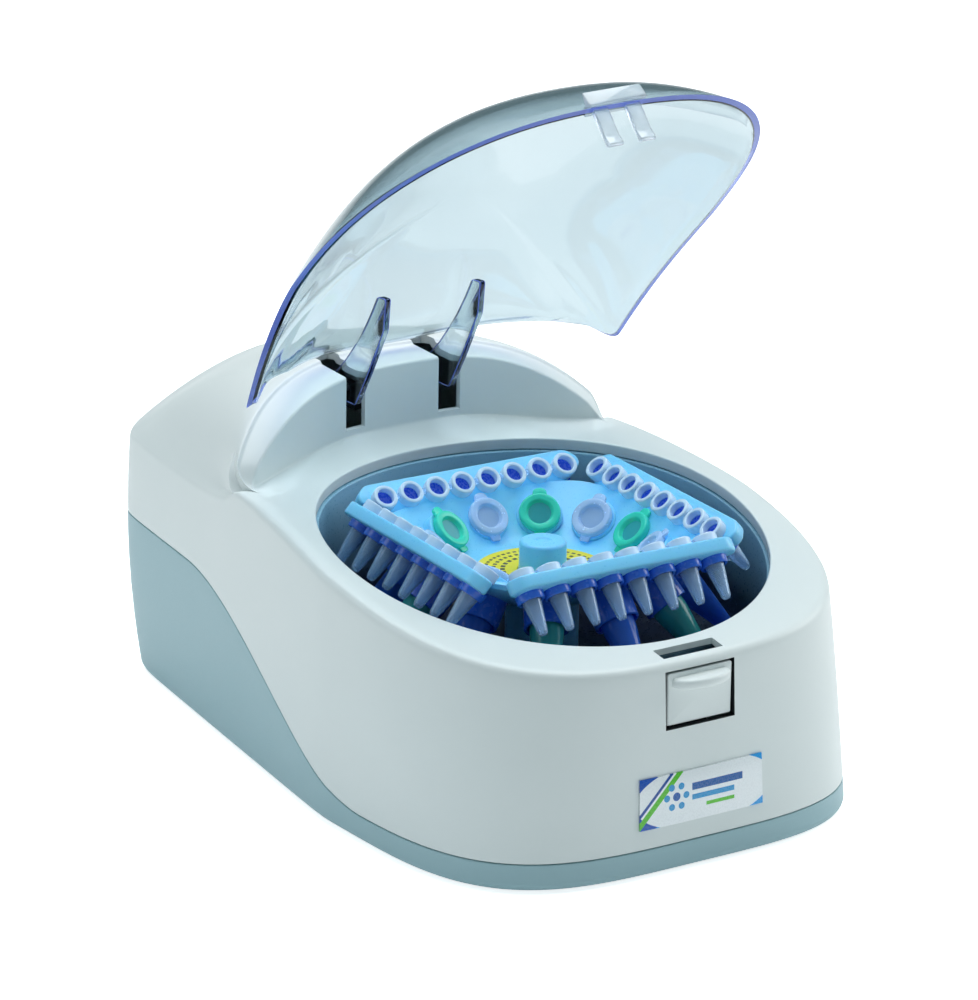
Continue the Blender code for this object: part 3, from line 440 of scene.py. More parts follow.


# Painted shade: the bowl's colour is mixed darker and bluer towards the floor, for the shade deep in the bowl
shade = bowlAbs.node_tree
bowlShader = shade.nodes["Principled BSDF"]
bowlColour = bowlShader.inputs["Base Color"].links[0].from_socket
bowlSpot = addNode(shade, "ShaderNodeTexCoord")
bowlPlace = addNode(shade, "ShaderNodeSeparateXYZ", {}, {0: bowlSpot.outputs["Object"]})
depth = addNode(shade, "ShaderNodeMapRange", {"From Min": 50 * mm, "From Max": 78 * mm, "To Min": 0.0,
                                              "To Max": 1.0}, {"Value": bowlPlace.outputs[2]})
paintedBowlShade = addNode(shade, "ShaderNodeMix", {"data_type": "RGBA", 6: linear("#16233A")},
                 {0: depth.outputs[0], 7: bowlColour})
shade.links.new(paintedBowlShade.outputs[2], bowlShader.inputs["Base Color"])

yellowFilm = printedDisc()
labelFilm = printedLabel()
print("materials are ready")

# Body surfaces, the same curves as the frame's solids but with many more columns

body = {"front": 83.5, "draft": 4.1, "side": 75.0, "flare": 1.9, "rear": 150.0, "rearHalf": 54.0, "height": 80.0,
        "square": 3.7, "rounding": 1.2, "bottom": 1.0, "seamFront": 9.0, "seamRear": 51.0, "seamStart": -18.0,
        "seamEnd": 97.0, "wall": 2.0,
        "bowl": 67.3, "bowlFloor": 36.0, "deck": (78.6, 11.7, -3.6, -2.4), "corner": 42.0, "face": 77.0,
        "arch": 109.0, "archDrop": 19.0, "archHalf": 60.0, "step": 1.2, "shoulder": 76.0, "rearRise": 21.0,
        "lip": 3.5, "gap": 0.15, "columns": 300}


def offRear(angle):
    return abs((math.degrees(angle) - 90 + 180) % 360 - 180)


def wallRadius(angle, z):
    rise = z / body["height"]
    side, front = body["side"] + body["flare"] * rise, body["front"] - body["draft"] * rise
    back, across = math.sin(angle), abs(math.cos(angle))
    if back <= 0:
        power = body["square"] - body["rounding"] * rise
        return ((across / side) ** power + (-back / front) ** power) ** (-1 / power)
    bulge = ((z - body["seamRear"]) / body["seamRear"]) ** 2
    rear = body["rear"] - (6 if z < body["seamRear"] else 3) * bulge
    taper = (side - body["rearHalf"] + 2 * bulge) / rear
    low, high = 40.0, 200.0
    for _ in range(22):
        middle = (low + high) / 2
        half = side - taper * (math.hypot(middle * back, 8) - 8)
        if (middle * across / half) ** 32 + (middle * back / rear) ** 32 < 1:
            low = middle
        else:
            high = middle
    return low


def seamHeight(angle):
    y = wallRadius(angle, body["seamFront"]) * math.sin(angle)
    return body["seamFront"] + (body["seamRear"] - body["seamFront"]) * ease(y, body["seamStart"], body["seamEnd"])


def deckHeight(angle, radius):
    u = min(radius * math.sin(angle), body["bowl"]) / body["bowl"]
    sweep = max(radius - body["bowl"], 0) / (body["face"] - body["bowl"])
    rise = 5 * min(sweep, 1) ** 2 * ease(offRear(angle), 46, 12)
    return sum(c * u ** i for i, c in enumerate(body["deck"])) + rise


def humpShare(angle):
    return ease(offRear(angle), 90 - body["corner"], 90 - body["corner"] - 5)


def shoulderHeight(angle):
    radius = wallRadius(angle, body["height"])
    x, y = radius * math.cos(angle), radius * math.sin(angle)
    share = humpShare(angle)
    crown = body["rearRise"] * max(0, 1 - (abs(x) / body["rearHalf"]) ** 1.8)
    high = body["shoulder"] + crown + 8.5 * math.exp(-(y - 59) / 14) if share else 0
    return deckHeight(angle, radius) * (1 - share) + high * share


def faceRadius(angle):
    corner = wallRadius(math.radians(body["corner"]), body["height"]) - 2.5
    away = min(offRear(angle) / (90 - body["corner"]), 1)
    return body["face"] + (corner - body["face"]) * away ** 2


def archHeight(angle):
    x = faceRadius(angle) * math.cos(angle)
    return body["arch"] - body["archDrop"] * (abs(x) / body["archHalf"]) ** 3


def ledgeWidth(angle):
    return 14.5 - 11 * (min(offRear(angle) / (90 - body["corner"]), 1)) ** 2


def chooseColumns(count):
    # evenly along the wall, and closer together where it bends and where the hump starts
    fine = np.radians(np.arange(-90, 270, 0.25))
    points = np.array([(wallRadius(a, 60) * math.cos(a), wallRadius(a, 60) * math.sin(a)) for a in fine])
    steps = np.roll(points, -1, axis=0) - points
    lengths = np.hypot(*steps.T)
    headings = np.unwrap(np.arctan2(steps[:, 1], steps[:, 0]))
    bends = np.abs(np.gradient(headings))
    corner = np.array([math.exp(-((offRear(a) - 46.5) / 3.5) ** 2) for a in fine])
    weights = lengths / lengths.mean() + 40 * bends + 3 * corner
    total = np.concatenate([[0], np.cumsum(weights)])
    wanted = np.linspace(0, total[-1], count, endpoint=False)
    return list(np.radians(np.interp(wanted, total, np.arange(-90, 270.01, 0.25))))


columns = chooseColumns(body["columns"])


def ringsFrom(profile, angles=None):
    angles = angles or columns
    sections = [profile(angle) for angle in angles]
    return [[(s[k][0] * math.cos(a), s[k][0] * math.sin(a), s[k][1]) for a, s in zip(angles, sections)]
            for k in range(len(sections[0]))]


def upperSection(angle):
    wall, bowl = body["wall"], body["bowl"]
    low, top, share = seamHeight(angle) + body["gap"], shoulderHeight(angle), humpShare(angle)
    rim = wallRadius(angle, top)
    side = [(wallRadius(angle, low), low, 0.4)]
    side += [(wallRadius(angle, low + (top - low) * k), low + (top - low) * k, None)
             for k in (0.1, 0.2, 0.35, 0.5, 0.65, 0.8, 0.9)]
    side.append((rim, top, 3.2))
    inner = rim - 7.0
    flat = [(inner, deckHeight(angle, inner), 0.0 if k in (6, 7, 8, 9) else None) for k in range(10)]
    flatInside = [(rim - 2.4, top - 2.4, None)] * 6
    face, arch = faceRadius(angle), archHeight(angle)
    if share:
        ledge, crown, start = face + ledgeWidth(angle), arch + body["step"], rim - 2.5
        over = [(start + (ledge + 0.8 - start) * k, top + (crown - top) * (1 - (1 - k) ** 2), None)
                for k in (0.08, 0.2, 0.35, 0.5, 0.7, 0.88)]
        over += [(ledge + 0.8, crown, 1.3), (ledge, arch + 0.2, 0.7), (face, arch, 1.0),
                 (face, deckHeight(angle, face), 1.8)]
        under = [(face + wall, deckHeight(angle, face) - wall, None), (face + wall, arch - wall, None),
                 (ledge + 2, arch - wall, None), (ledge + 3.2, crown - 2.4, None),
                 ((ledge + rim) / 2, (top + 3 * crown) / 4 - 3.2, None), (rim - 2.4, top - 3.2, None)]
        mixed = []
        for a, b in zip(flat + flatInside, over + under):
            soft = None if b[2] is None else (a[2] or 0) * (1 - share) + b[2] * share
            mixed.append((a[0] + (b[0] - a[0]) * share, a[1] + (b[1] - a[1]) * share, soft))
        flat, flatInside = mixed[:10], mixed[10:]
    start = flat[-1][0]
    deck = [(start + (bowl + 1.2 - start) * k, 0, None) for k in (0.12, 0.25, 0.4, 0.6, 0.8, 1)]
    deck = [(r, deckHeight(angle, r), None) for r, _, _ in deck]
    edge = deckHeight(angle, bowl)
    lip = [(bowl, edge, 0.9), (bowl, edge - body["lip"], 0.3), (bowl + wall, edge - body["lip"], None),
           (bowl + wall, edge - wall, None)]
    middle = (low + top) / 2
    back = [(wallRadius(angle, middle) - wall, middle, None), (wallRadius(angle, low) - wall, low, None)]
    return softened(side + flat + deck + lip + flatInside + back)


def flared(low, high, flare, depth, axis):
    # a box cutter whose mouth opens out at its high end, for a chamfered edge
    rings = []
    for k, grow in ((0, 0), (1, 0), (2, flare), (3, flare)):
        along = (low[axis], high[axis] - depth, high[axis], high[axis] + 6)[k]
        a, b = [i for i in range(3) if i != axis]
        ring = []
        for u, v in ((low[a] - grow, low[b] - grow), (high[a] + grow, low[b] - grow),
                     (high[a] + grow, high[b] + grow), (low[a] - grow, high[b] + grow)):
            point = [0, 0, 0]
            point[axis], point[a], point[b] = along, u, v
            ring.append(tuple(point))
        rings.append(ring)
    return skin(rings)


latch = {"half": 12.2, "low": 43.8, "high": 61.4, "catchHalf": 10.5, "catchFront": -76.9, "catchRear": -71.3}
arms = {"x": 17.0, "thick": 2.2, "slot": 7.4, "slotBottom": 91.3, "slotRear": 97.5}


def upperHousing():
    piece = place("upperShell", skin(ringsFrom(upperSection), loop=True), caseFrame, "case", [paleAbs],
                  ["upper_housing"])
    window = moved(block((-latch["half"], latch["low"], -65), (latch["half"], latch["high"], 86)), facingFront)
    catch = flared((-latch["catchHalf"], latch["catchFront"], 55), (latch["catchHalf"], latch["catchRear"], 66.4),
                   0.5, 0.6, 2)
    cuts = [catch]
    for side in (-1, 1):
        middle = side * arms["x"]
        cuts.append(block((middle - arms["slot"] / 2, 70, arms["slotBottom"]),
                          (middle + arms["slot"] / 2, arms["slotRear"], 120)))
    # the window's cut walls take black nylon, a painted shade round the latch button's recess
    carve(piece, window, blackNylon)
    carve(piece, joined(cuts), paleAbs)
    return piece


def baseSection(angle):
    top, wall = seamHeight(angle) - body["gap"], body["wall"]
    outside = [(0.0, body["bottom"], None), (wallRadius(angle, 1) - 1.2, body["bottom"], 0.6),
               (wallRadius(angle, 2.6), 2.6, 1.0)]
    outside += [(wallRadius(angle, 4 + (top - 4) * k), 4 + (top - 4) * k, None) for k in (0.15, 0.3, 0.5, 0.7, 0.85)]
    outside.append((wallRadius(angle, top), top, 0.5))
    middle = (top + 4) / 2
    inside = [(wallRadius(angle, top) - wall, top, None), (wallRadius(angle, middle) - wall, middle, None),
              (wallRadius(angle, 4.2) - wall - 0.4, 4.2, None), (0.0, 4.2, None)]
    return softened(outside + inside, closed=False)


def baseHousing():
    piece = place("baseShell", skin(ringsFrom(baseSection), caps=(False, False)), caseFrame, "case",
                  [blueGreyAbs], ["base_housing"])
    cuts = [block((-28 - 4.8, 130, 24 - 5.8), (-28 + 4.8, 160, 24 + 5.8)),
            block((24 - 6.8, 130, 26 - 9.8), (24 + 6.8, 160, 26 + 9.8))]
    carve(piece, joined(cuts), blueGreyAbs)
    return piece


def bowlSection(angle):
    top, floor = deckHeight(angle, body["bowl"]) - body["lip"] - 0.3, body["bowlFloor"]
    return softened([(4.5, floor, 0.6), (54, floor, 3), (62, floor + 5, 5), (64.6, 52, None), (65.5, (52 + top) / 2, None),
                     (66.4, top, 0.4), (68.4, top, 0.4), (66.6, 51, None), (64, floor + 2.6, 2), (57, floor - 2.2, None),
                     (4.5, floor - 2.2, None)])


upperHousing()
baseHousing()
place("bowlWall", skin(ringsFrom(bowlSection, [math.tau * i / 144 for i in range(144)]), loop=True), caseFrame,
      "case", [bowlAbs], ["bowl_liner"])
print("housing is built")

# Lid

lid = {"wall": 2.0, "dome": 29.0, "plane": 76.1, "slope": 0.15, "columns": 260, "front": 76.2, "square": 2.47,
       "bend": 3.07, "spread": 95,
       "shares": (0, 0.006, 0.014, 0.025, 0.04, 0.06, 0.09, 0.13, 0.18, 0.24, 0.31, 0.4, 0.5, 0.62, 0.75, 0.88, 0.97)}


def lidRim(angle):
    share = humpShare(angle)
    back, across = math.sin(angle), abs(math.cos(angle))
    side = wallRadius(0, deckHeight(0, body["side"])) - 1.0
    if back > 0:
        radius = wallRadius(angle, deckHeight(angle, wallRadius(angle, body["height"]))) - 1.0
    else:
        radius = ((across / side) ** lid["square"] + (-back / lid["front"]) ** lid["square"]) ** (-1 / lid["square"])
    height = deckHeight(angle, radius) + 0.5
    if share:
        radius = radius * (1 - share) + (faceRadius(angle) + 1.5) * share
        height = height * (1 - share) + (archHeight(angle) + 0.6) * share
    return radius, height


def rimRise(angle):
    radius, low = lidRim(angle)
    return low - lid["plane"] - lid["slope"] * radius * math.sin(angle)


rimAngles = np.radians(np.arange(-90, 270, 0.5))
rimRises = np.array([rimRise(angle) for angle in rimAngles])


def softRise(angle, share):
    # the step up to the hump is sharp at the rim, and spread over a wider angle further in
    turns = np.linspace(-1, 1, 21)
    nearby = np.interp(angle + turns * math.radians(lid["spread"]) * max(share - 0.03, 0), rimAngles, rimRises, period=math.tau)
    return float(np.average(nearby, weights=1.02 - turns ** 2))


def lidSection(angle):
    radius, low = lidRim(angle)
    seated = ease(rimRise(angle), 0, 12) * lid["wall"]      # on the hump the rim's inner edge lies on the step
    bend = lid["bend"] * (1 + 0.5 * max(-math.sin(angle), 0) ** 2)
    outer = []
    for share in lid["shares"]:
        r = radius * (1 - share)
        rise = softRise(angle, share)
        steep = 1 - ease(rise, 0, 12)
        dome = lid["dome"] * (1 - (1 - share) ** bend)
        bridged = (dome ** 3 + max(rise * (1 - share) ** 1.3, 0) ** 3) ** (1 / 3)
        lift = bridged * (1 - steep) + (dome + rise * (1 - share) ** 2) * steep
        lift += seated * ease(share, 0.1, 0.025)
        outer.append((r, lid["plane"] + lid["slope"] * r * math.sin(angle) + lift))
    inner = []
    for k, (r, z) in enumerate(outer):
        before, after = outer[max(k - 1, 0)], outer[min(k + 1, len(outer) - 1)]
        along = Vector((after[0] - before[0], after[1] - before[1])).normalized()
        near = ease(lid["shares"][k], 0.1, 0)       # by the rim the inside never dips below it
        inner.append((min(r - along.y * lid["wall"], r - lid["wall"] * near),
                      max(z + along.x * lid["wall"], low - 12 * (1 - near))))
    return list(reversed(inner)) + outer


def lidShell():
    angles = chooseColumns(lid["columns"])
    shape = skin(ringsFrom(lidSection, angles))
    shape = moved(shape, Matrix.Translation((0, -hinge["y"], -hinge["z"])))
    edge = len(lid["shares"]) - 1        # the ring of faces between inside and outside is the cut edge, which takes the painted glow
    count = len(angles)
    for i in range(edge * count, (edge + 1) * count):
        shape[2][i] = 1
    return place("lidDome", shape, lidFrame, "lid", [clearPolycarbonate, paintedEdgeGlow],
                 ["lid_shell"], sharp=50)


def lidArm(name, side, node):
    boss = [(4 * math.cos(math.radians(d)), 4 * math.sin(math.radians(d))) for d in range(-60, 121, 15)]
    blade = [(-10, 1.6), (-17, 0.6), (-25, -0.2), (-33, -0.2), (-40.5, 0.2), (-43.4, -3.6), (-34, -8.3),
             (-17, -9.7), (-2.5, -10.3)]
    outline = softened([(y, z, None) for y, z in boss] + [(y, z, 1.2) for y, z in blade])
    shape = slab(outline, -arms["thick"] / 2, arms["thick"] / 2, 0.35)
    for i in range(len(shape[1])):      # the bevels take the lid edge's painted glow
        ring = i // len(outline)
        shape[2][i] = 1 if ring in (1, 2, 4, 5) else 0
    pinHole = turned([(1.5, -1.11), (2.1, -1.11), (2.1, 1.11), (1.5, 1.11)], 24, loop=True)
    shape = joined([moved(shape, sideways), moved(pinHole, Matrix.Rotation(math.pi / 2, 4, "Y"))])
    shape = moved(shape, Matrix.Translation((side * arms["x"], 0, 0)))
    return place(name, shape, lidFrame, "lid", [clearPolycarbonate, paintedEdgeGlow], [node])


def lidCatch():
    angle = math.radians(-90)
    radius, low = lidRim(angle)
    front, low = -radius - hinge["y"], low - hinge["z"]
    hook = polygon([(front - 0.9, low + 0.3), (front - 0.9, low + 5.2), (front - 0.2, low + 5.2),
                    (front - 0.2, low + 1.3), (front + 4.3, low + 1.3), (front + 4.3, low + 0.3)], 0.3, 3)
    parts = [moved(slab(hook, -10, 10, 0.3), sideways)]
    prong = polygon([(front + 1.0, low + 0.6), (front + 3.0, low + 0.6), (front + 3.8, low - 4),
                     (front + 5.0, low - 8), (front + 5.4, low - 11), (front + 4.6, low - 11.8),
                     (front + 3.5, low - 11.4), (front + 3.6, low - 8.5), (front + 2.2, low - 4)], 0.7, 4)
    for side in (-1, 1):
        parts.append(moved(slab(prong, side * 5.6 - 2.6, side * 5.6 + 2.6, 0.4), sideways))
    return place("lidCatchClip", joined(parts), lidFrame, "lid", [clipPaintedHighlight], ["lid_catch"])


# Polished clear polycarbonate of the clip, coloured nearly white: a painted highlight for the lamps it catches all over
clipPaintedHighlight = surface("clipPaintedHighlight", {"colour": "#F3F7FA", "cloudColour": "#E6EEF4", "rough": (0.05, 0.12),
                      "grainMm": 2, "depthMm": 0.03, "cloudMm": 8, "bump": 0.3, "clear": 0.7, "ior": 1.45,
                      "lamps": "#E8EEF2", "coat": 0.5})
lidShell()
lidArm("lidBladeLeft", -1, "lid_arm_left")
lidArm("lidBladeRight", 1, "lid_arm_right")
lidCatch()
print("lid is built")

# Latch button and label

button = {"y": -80.5, "z": 52.6, "ledgeHalf": 9.9, "ledgeDeep": 5.2, "ledgeLow": 3.6, "ledgeHigh": 6.6}


def latchButton():
    half, low, high = latch["half"] - 0.9, latch["low"] - button["z"] + 0.9, latch["high"] - button["z"] - 0.7
    plate = polygon([(-half, low), (half, low), (half, high), (-half, high)], 0.8)
    parts = [moved(slab(plate, -2.6, -0.1, 0.5), facingFront)]
    arc = [(button["ledgeHalf"] * math.cos(a), -0.2 - button["ledgeDeep"] * math.sin(a))
           for a in [math.pi * k / 28 for k in range(29)]]
    ledge = [(button["ledgeHalf"], 1.2)] + arc + [(-button["ledgeHalf"], 1.2)]
    parts.append(slab(ledge, button["ledgeLow"], button["ledgeHigh"], 1.1))
    for side in (-1, 1):
        parts.append(box((side * 5.5 - 2.5, 2, -0.5), (side * 5.5 + 2.5, 4.9, 3.5)))
    shape = moved(joined(parts), Matrix.Translation((0, button["y"], button["z"])))
    return place("latchPaddle", shape, caseFrame, "latch", [paleAbs], ["latch_button"])


def frontLabel():
    half, low, high = 14.8, 15.2, 30.6
    places = [math.radians(-90 - half + 2 * half * k / 40) for k in range(41)]
    rings = []
    for z, grow in ((low, 0.15), (low, 0.5), (low + 0.1, 0.55), (high - 0.1, 0.55), (high, 0.5), (high, 0.15)):
        outer = [(wallRadius(a, z) + grow, a) for a in places]
        inner = [(wallRadius(a, z) + 0.15, a) for a in reversed(places)]
        rings.append([(r * math.cos(a), r * math.sin(a), z) for r, a in outer + inner])
    return place("frontPanelLabel", skin(rings), caseFrame, "case", [labelFilm], ["front_label"])


latchButton()
frontLabel()
print("latch and label are built")

# Rotor

rotor = {"hub": 11.0, "hubLow": 42.0, "shaft": 1.5, "disc": 20.0, "discZ": 65.7, "knob": 7.1, "knobTop": 75.5,
         "stripR": 38.25, "stripZ": 82.7, "stripTilt": 41.9, "pitch": 9.0, "count": 8, "stripLength": 20.3,
         "flangeTop": 3.0, "flangeThick": 4.3, "flangeHalf": 38.5, "flangeIn": -4.4, "flangeOut": 6.5,
         "tubeR": 30.3, "tubeZ": 73.8, "tubeTilt": 45.0, "tubes": 12, "tubeLength": 39.0, "cap": 6.35, "barrel": 5.3}


def stripFrame(quarter):
    # x runs up the flange's slope, y along the strip, z out of the tubes' mouths
    return (Matrix.Rotation(quarter * math.pi / 2, 4, "Z") @ Matrix.Translation((rotor["stripR"], 0, rotor["stripZ"]))
            @ Matrix.Rotation(-math.radians(rotor["stripTilt"]), 4, "Y"))


def tubeFrame(index):
    return (Matrix.Rotation(math.tau * index / rotor["tubes"], 4, "Z")
            @ Matrix.Translation((rotor["tubeR"], 0, rotor["tubeZ"]))
            @ Matrix.Rotation(-math.radians(rotor["tubeTilt"]), 4, "Y"))


def stripPlaces():
    return [rotor["pitch"] * (i - (rotor["count"] - 1) / 2) for i in range(rotor["count"])]


def squared(radius, squareness, z, sides=96):
    power = 2 + squareness
    ring = []
    for i in range(sides):
        angle = math.tau * i / sides
        size = (abs(math.cos(angle)) ** power + abs(math.sin(angle)) ** power) ** (-1 / power)
        ring.append((radius * size * math.cos(angle), radius * size * math.sin(angle), z))
    return ring


def rotorBody():
    dish = [squared(r, q, z) for r, q, z in (
        (0.01, 0, rotor["hubLow"]), (rotor["hub"] - 0.8, 0, rotor["hubLow"]), (rotor["hub"], 0, rotor["hubLow"] + 0.8),
        (rotor["hub"], 0, 57), (rotor["hub"] + 2, 0, 59.6), (22, 0, 62.4), (30, 0.6, 66), (34, 1.8, 70.4),
        (38.4, 3.6, 75.4), (38.7, 3.8, 76.4), (38.5, 3.8, 77.9), (37.6, 3.6, 78.3), (34.2, 2.2, 74.6), (30.6, 0.8, 70.6),
        (27.6, 0.2, 67.4), (25.6, 0, 66.0), (21.5, 0, 65.3), (20.6, 0, 65.2), (0.01, 0, 65.2))]
    parts = [skin(dish, caps=(False, False))]
    clip = 3.2
    inner, outer, half = rotor["flangeIn"], rotor["flangeOut"], rotor["flangeHalf"]
    plate = polygon([(inner, -half + 7.4), (inner + 5.2, -half), (outer - clip, -half), (outer, -half + clip),
                     (outer, half - clip), (outer - clip, half), (inner + 5.2, half), (inner, half - 7.4)], 1.8)
    under = -rotor["flangeTop"] - rotor["flangeThick"]
    for quarter in range(4):
        pieces = [slab(plate, under, -rotor["flangeTop"], 0.7)]
        for y in stripPlaces():
            collar = turned([(3.2, under + 0.4), (4.35, under + 0.4), (4.25, under - 1.9), (4.0, under - 2.3),
                             (3.3, under - 2.3)], 24, loop=True)
            # the collars take the darker nylon, a painted shade under the flange
            collar[2] = [1] * len(collar[1])
            pieces.append(moved(collar, Matrix.Translation((0, y, 0))))
        parts += [moved(piece, stripFrame(quarter)) for piece in pieces]
    for index in range(rotor["tubes"]):
        ring = turned(softened([(5.75, -2.35, 0.3), (7.0, -2.35, 0.5), (7.0, -5.6, None), (5.75, -5.6, None)]), 36,
                      loop=True)
        parts.append(moved(ring, tubeFrame(index)))
    return place("rotorDish", joined(parts), rotorFrame, "rotor", [rotorNylon, sleeveNylonPaintedShade],
                 ["rotor_body"])


def rotorSleeves():
    parts = []
    for index in range(rotor["tubes"]):
        sleeve = turned(softened([(5.75, -5.7, 0.2), (6.95, -5.7, 0.3), (6.9, -11, None), (6.75, -16.2, 0.5),
                                  (5.75, -16.2, 0.4), (5.75, -11, None)]), 36, loop=True)
        parts.append(moved(sleeve, tubeFrame(index)))
    return place("rotorSleeves", joined(parts), rotorFrame, "rotor", [sleeveNylonPaintedShade])


def rotorFittings():
    z, reach = rotor["discZ"], rotor["disc"]
    disc = turned([(7.5, z), (reach, z), (reach + 0.02, z + 0.25), (reach - 0.1, z + 0.5), (7.5, z + 0.5)], 96,
                  loop=True)
    place("yellowDisc", disc, rotorFrame, "rotor", [yellowFilm], ["warning_disc"], sharp=50)
    top, r = rotor["knobTop"], rotor["knob"]
    profile = softened([(0.0, z, None), (r + 0.1, z, 0.3), (r + 0.1, z + 1.2, None), (r, z + 1.6, None),
                        (r - 0.1, top, 1.3), (2.4, top, 0.3), (2.0, top - 0.45, 0.2), (0.0, top - 0.5, None)],
                       closed=False)
    place("clampKnob", turned(profile, 64), rotorFrame, "rotor", [rotorNylon], ["rotor_knob"])


def tubeStrip(quarter):
    length = rotor["stripLength"]
    wall = softened([(2.75, 0.0, 0.25), (3.75, 0.0, 0.35), (3.75, -1.0, 0.3), (3.25, -1.3, 0.2), (3.2, -2.6, None),
                     (3.1, -8.0, None), (2.9, -9.5, None), (1.5, -length + 1.2, None), (1.05, -length + 0.2, None),
                     (0.01, -length, None), (0.01, -length + 0.5, None), (0.9, -length + 1.2, None), (2.45, -9.5, None),
                     (2.65, -8.0, None)])
    parts = []
    # the rims take the lighter copy, a painted highlight, and each mouth is closed by a flat disc of painted shade
    rim = softened([(2.6, 0.2, 0.3), (3.85, 0.2, 0.5), (3.85, -2.9, 0.1), (2.9, -2.9, None), (2.6, -1.2, None)])
    mouth = turned([(0.01, -2.2), (2.7, -2.2), (2.7, -2.5), (0.01, -2.5)], 24, slot=2)
    for y in stripPlaces():
        for shape in (turned(wall, 28, loop=True), turned(rim, 28, loop=True, slot=1), mouth):
            parts.append(moved(shape, Matrix.Translation((0, y, 0))))
    for y in stripPlaces()[:-1]:
        parts.append(box((-0.9, y + 3.7, -1.5), (0.9, y + rotor["pitch"] - 3.7, -0.6), 0.25))
    shape = moved(joined(parts), stripFrame(quarter))
    return place(f"tubeStrip{quarter + 1}", shape, rotorFrame, "rotor",
                 [clearPolypropylene, rimPaintedHighlight, shadedMouth], [f"tube_strip_{quarter + 1}"])


def microtube(index):
    cap, barrel, length = rotor["cap"], rotor["barrel"], rotor["tubeLength"]
    lidTop = turned(softened([(3.4, -1.3, None), (3.7, -0.9, 0.3), (4.1, 0.0, 0.4), (cap - 0.2, 0.1, 0.6),
                              (cap, -1.3, 0.4), (cap - 0.25, -2.2, 0.2), (3.4, -2.2, None)]), 44, loop=True)
    recess = turned([(0.01, -1.2), (3.5, -1.2), (3.5, -1.5), (0.01, -1.5)], 32, slot=1)
    body = turned(softened([(0.01, -2.25, None), (barrel + 0.1, -2.25, 0.2), (barrel, -4, None), (barrel - 0.25, -18.5, 1.0),
                            (2.1, -length + 3, 1.2), (1.7, -length, 0.8), (0.01, -length, None)], closed=False), 40,
                  slot=2)
    tab = slab(polygon([(cap - 1.2, -2.4), (cap + 1.4, -1.9), (cap + 2.0, 0), (cap + 1.4, 1.9),
                        (cap - 1.2, 2.4)], 0.8), -1.7, -0.7, 0.3)
    strap = slab(polygon([(-cap - 1.5, -1.5), (-cap + 1, -1.8), (-cap + 1, 1.8), (-cap - 1.5, 1.5)], 0.5),
                 -2.1, -1.4, 0.25)
    shape = moved(joined([lidTop, recess, body, tab, strap]), tubeFrame(index))
    # the caps' recesses are painted shade; the barrels are painted shade and the painted blue of the nylon round them
    minted = index % 2 == 0
    return place(f"microtube{index + 1:02d}", shape, rotorFrame, "rotor",
                 [mintPolypropylene, mintRecessPaintedShade, mintBarrelPaintedShadeAndBlue] if minted else
                 [frostedPolypropylene, frostedRecessPaintedShade, blueBarrelPaintedReflection],
                 [f"microtube_{index + 1:02d}"])


rotorBody()
rotorSleeves()
rotorFittings()
for quarter in range(4):
    tubeStrip(quarter)
for index in range(rotor["tubes"]):
    microtube(index)
print("rotor is loaded")

# Nodes whose CAD shape stays get the finish of their real material
carried = {turnedSteel: ["hinge_pin", "lid_spring", "latch_spring", "motor", "rotor_shaft"]
           + [f"housing_screw_{i}" for i in range(1, 5)],
           blackNylon: ["hinge_bracket_left", "hinge_bracket_right", "motor_bracket", "lid_sensor", "power_inlet",
                        "switch_housing"],
           footRubber: [f"rubber_foot_{i}" for i in range(1, 5)] + [f"motor_isolator_{i}" for i in range(1, 5)],
           solderMask: ["control_board"], turnedBrass: ["inlet_pin"], paleAbs: ["latch_bracket", "power_switch"]}
for material, names in carried.items():
    for name in names:
        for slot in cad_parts[name].material_slots:
            slot.material = material

# Camera: a long lens from the front left, a little above
view = {"turn": 34.37, "rise": 19.17, "roll": 0.90, "distance": 2127.6, "aside": (14.90, 83.02), "lens": 255.8}


def aimCamera():
    a, e, r = (math.radians(view[k]) for k in ("turn", "rise", "roll"))
    right = Vector((math.cos(a), -math.sin(a), 0))
    forward = Vector((math.sin(a) * math.cos(e), math.cos(a) * math.cos(e), -math.sin(e)))
    up = Vector((math.sin(a) * math.sin(e), math.cos(a) * math.sin(e), math.cos(e)))
    across = right * math.cos(r) + up * math.sin(r)
    down = right * math.sin(r) - up * math.cos(r)
    eye = -(across * view["aside"][0] + down * view["aside"][1] + forward * view["distance"])
    data = bpy.data.cameras.new("camera")
    data.lens = view["lens"]
    data.sensor_width = 36
    data.clip_end = 50
    camera = bpy.data.objects.new("camera", data)
    bpy.context.scene.collection.objects.link(camera)
    turn = Matrix((across, -down, -forward)).transposed().to_4x4()
    camera.matrix_world = Matrix.Translation((eye + Vector((0, -33.4, 0))) * mm) @ turn
    bpy.context.scene.camera = camera


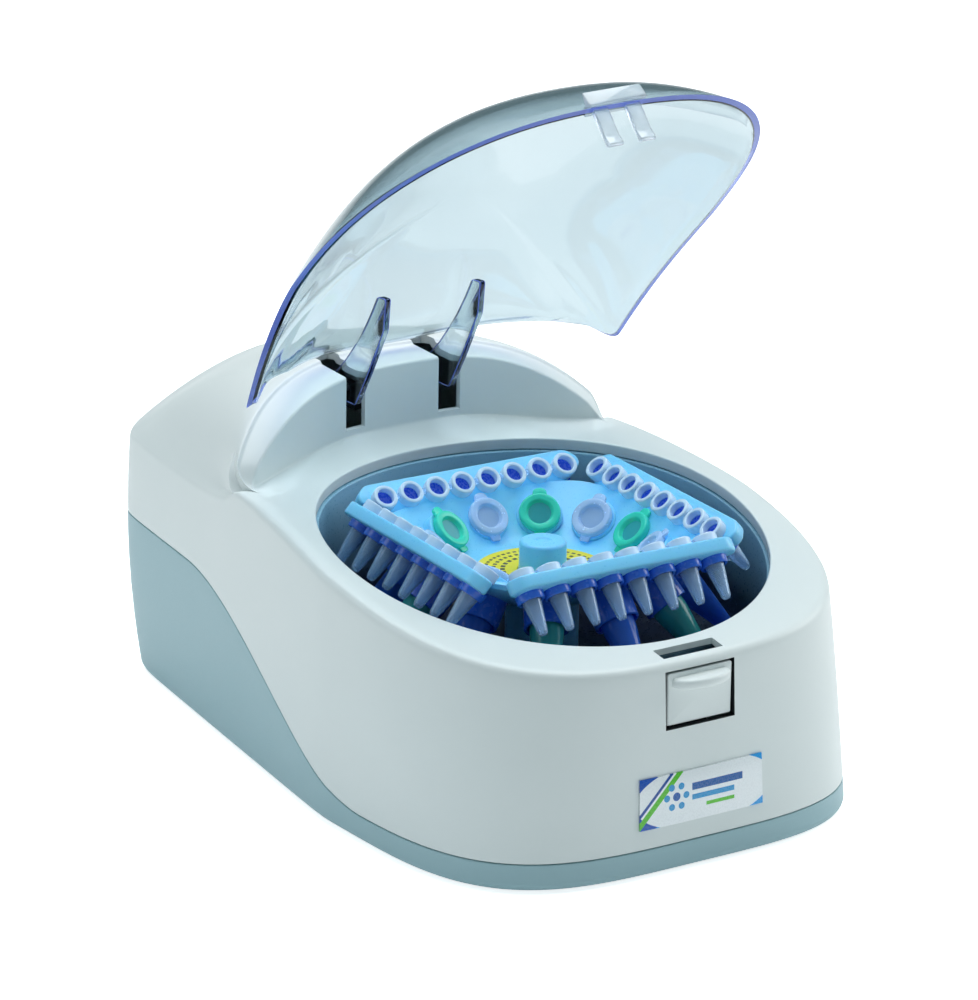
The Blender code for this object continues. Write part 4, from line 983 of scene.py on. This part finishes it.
def softbox(name, spot, aim, size, watts, hexText="#FFFFFF"):
    data = bpy.data.lights.new(name, "AREA")
    data.shape, data.size, data.size_y = "RECTANGLE", size[0], size[1]
    data.energy = watts
    data.color = linear(hexText)[:3]
    lamp = bpy.data.objects.new(name, data)
    lamp.location = spot
    lamp.rotation_euler = (Vector(aim) - Vector(spot)).to_track_quat("-Z", "Y").to_euler()
    bpy.context.scene.collection.objects.link(lamp)


def studio():
    # white sweep under a big overhead softbox, a key from the right front and a weak fill from the left
    floor = meshOf("floor", skin([[(-4000, -4000, -0.4), (4000, -4000, -0.4), (4000, 4000, -0.4), (-4000, 4000, -0.4)],
                                  [(-4000, -4000, 0), (4000, -4000, 0), (4000, 4000, 0), (-4000, 4000, 0)]]),
                   Matrix.Scale(mm, 4))
    paper = surface("studioPaper", {"colour": "#FDFDFD", "cloudColour": "#FBFCFC", "rough": (0.8, 0.95),
                                    "grainMm": 4, "depthMm": 0.02, "cloudMm": 400, "bump": 0.1})
    shader = paper.node_tree.nodes["Principled BSDF"]
    shader.inputs["Emission Color"].default_value = (1, 1, 1, 1)
    path = addNode(paper.node_tree, "ShaderNodeLightPath")      # white to the eye, yet it lights the walls little
    glow = addNode(paper.node_tree, "ShaderNodeMath", {"operation": "MULTIPLY_ADD", 1: 0.62, 2: 0.12},
                   {0: path.outputs["Is Camera Ray"]})
    paper.node_tree.links.new(glow.outputs[0], shader.inputs["Emission Strength"])
    floor.data.materials.append(paper)
    softbox("overhead", (0.15, 0.25, 1.4), (0, 0, 0.05), (1.3, 1.3), 19.5)
    softbox("key", (1.5, -0.35, 0.7), (0, 0, 0.05), (0.9, 0.9), 8.5)
    softbox("fill", (-1.5, 0.5, 0.8), (0, 0, 0.08), (0.9, 0.9), 3.4, "#F2F8FF")
    world = bpy.data.worlds.new("studio")
    world.use_nodes = True
    world.node_tree.nodes["Background"].inputs["Color"].default_value = linear("#BFE2EC")
    world.node_tree.nodes["Background"].inputs["Strength"].default_value = 0.27
    bpy.context.scene.world = world
    bpy.context.scene.view_settings.view_transform = "Standard"


aimCamera()
studio()
print("camera and lamps are set")
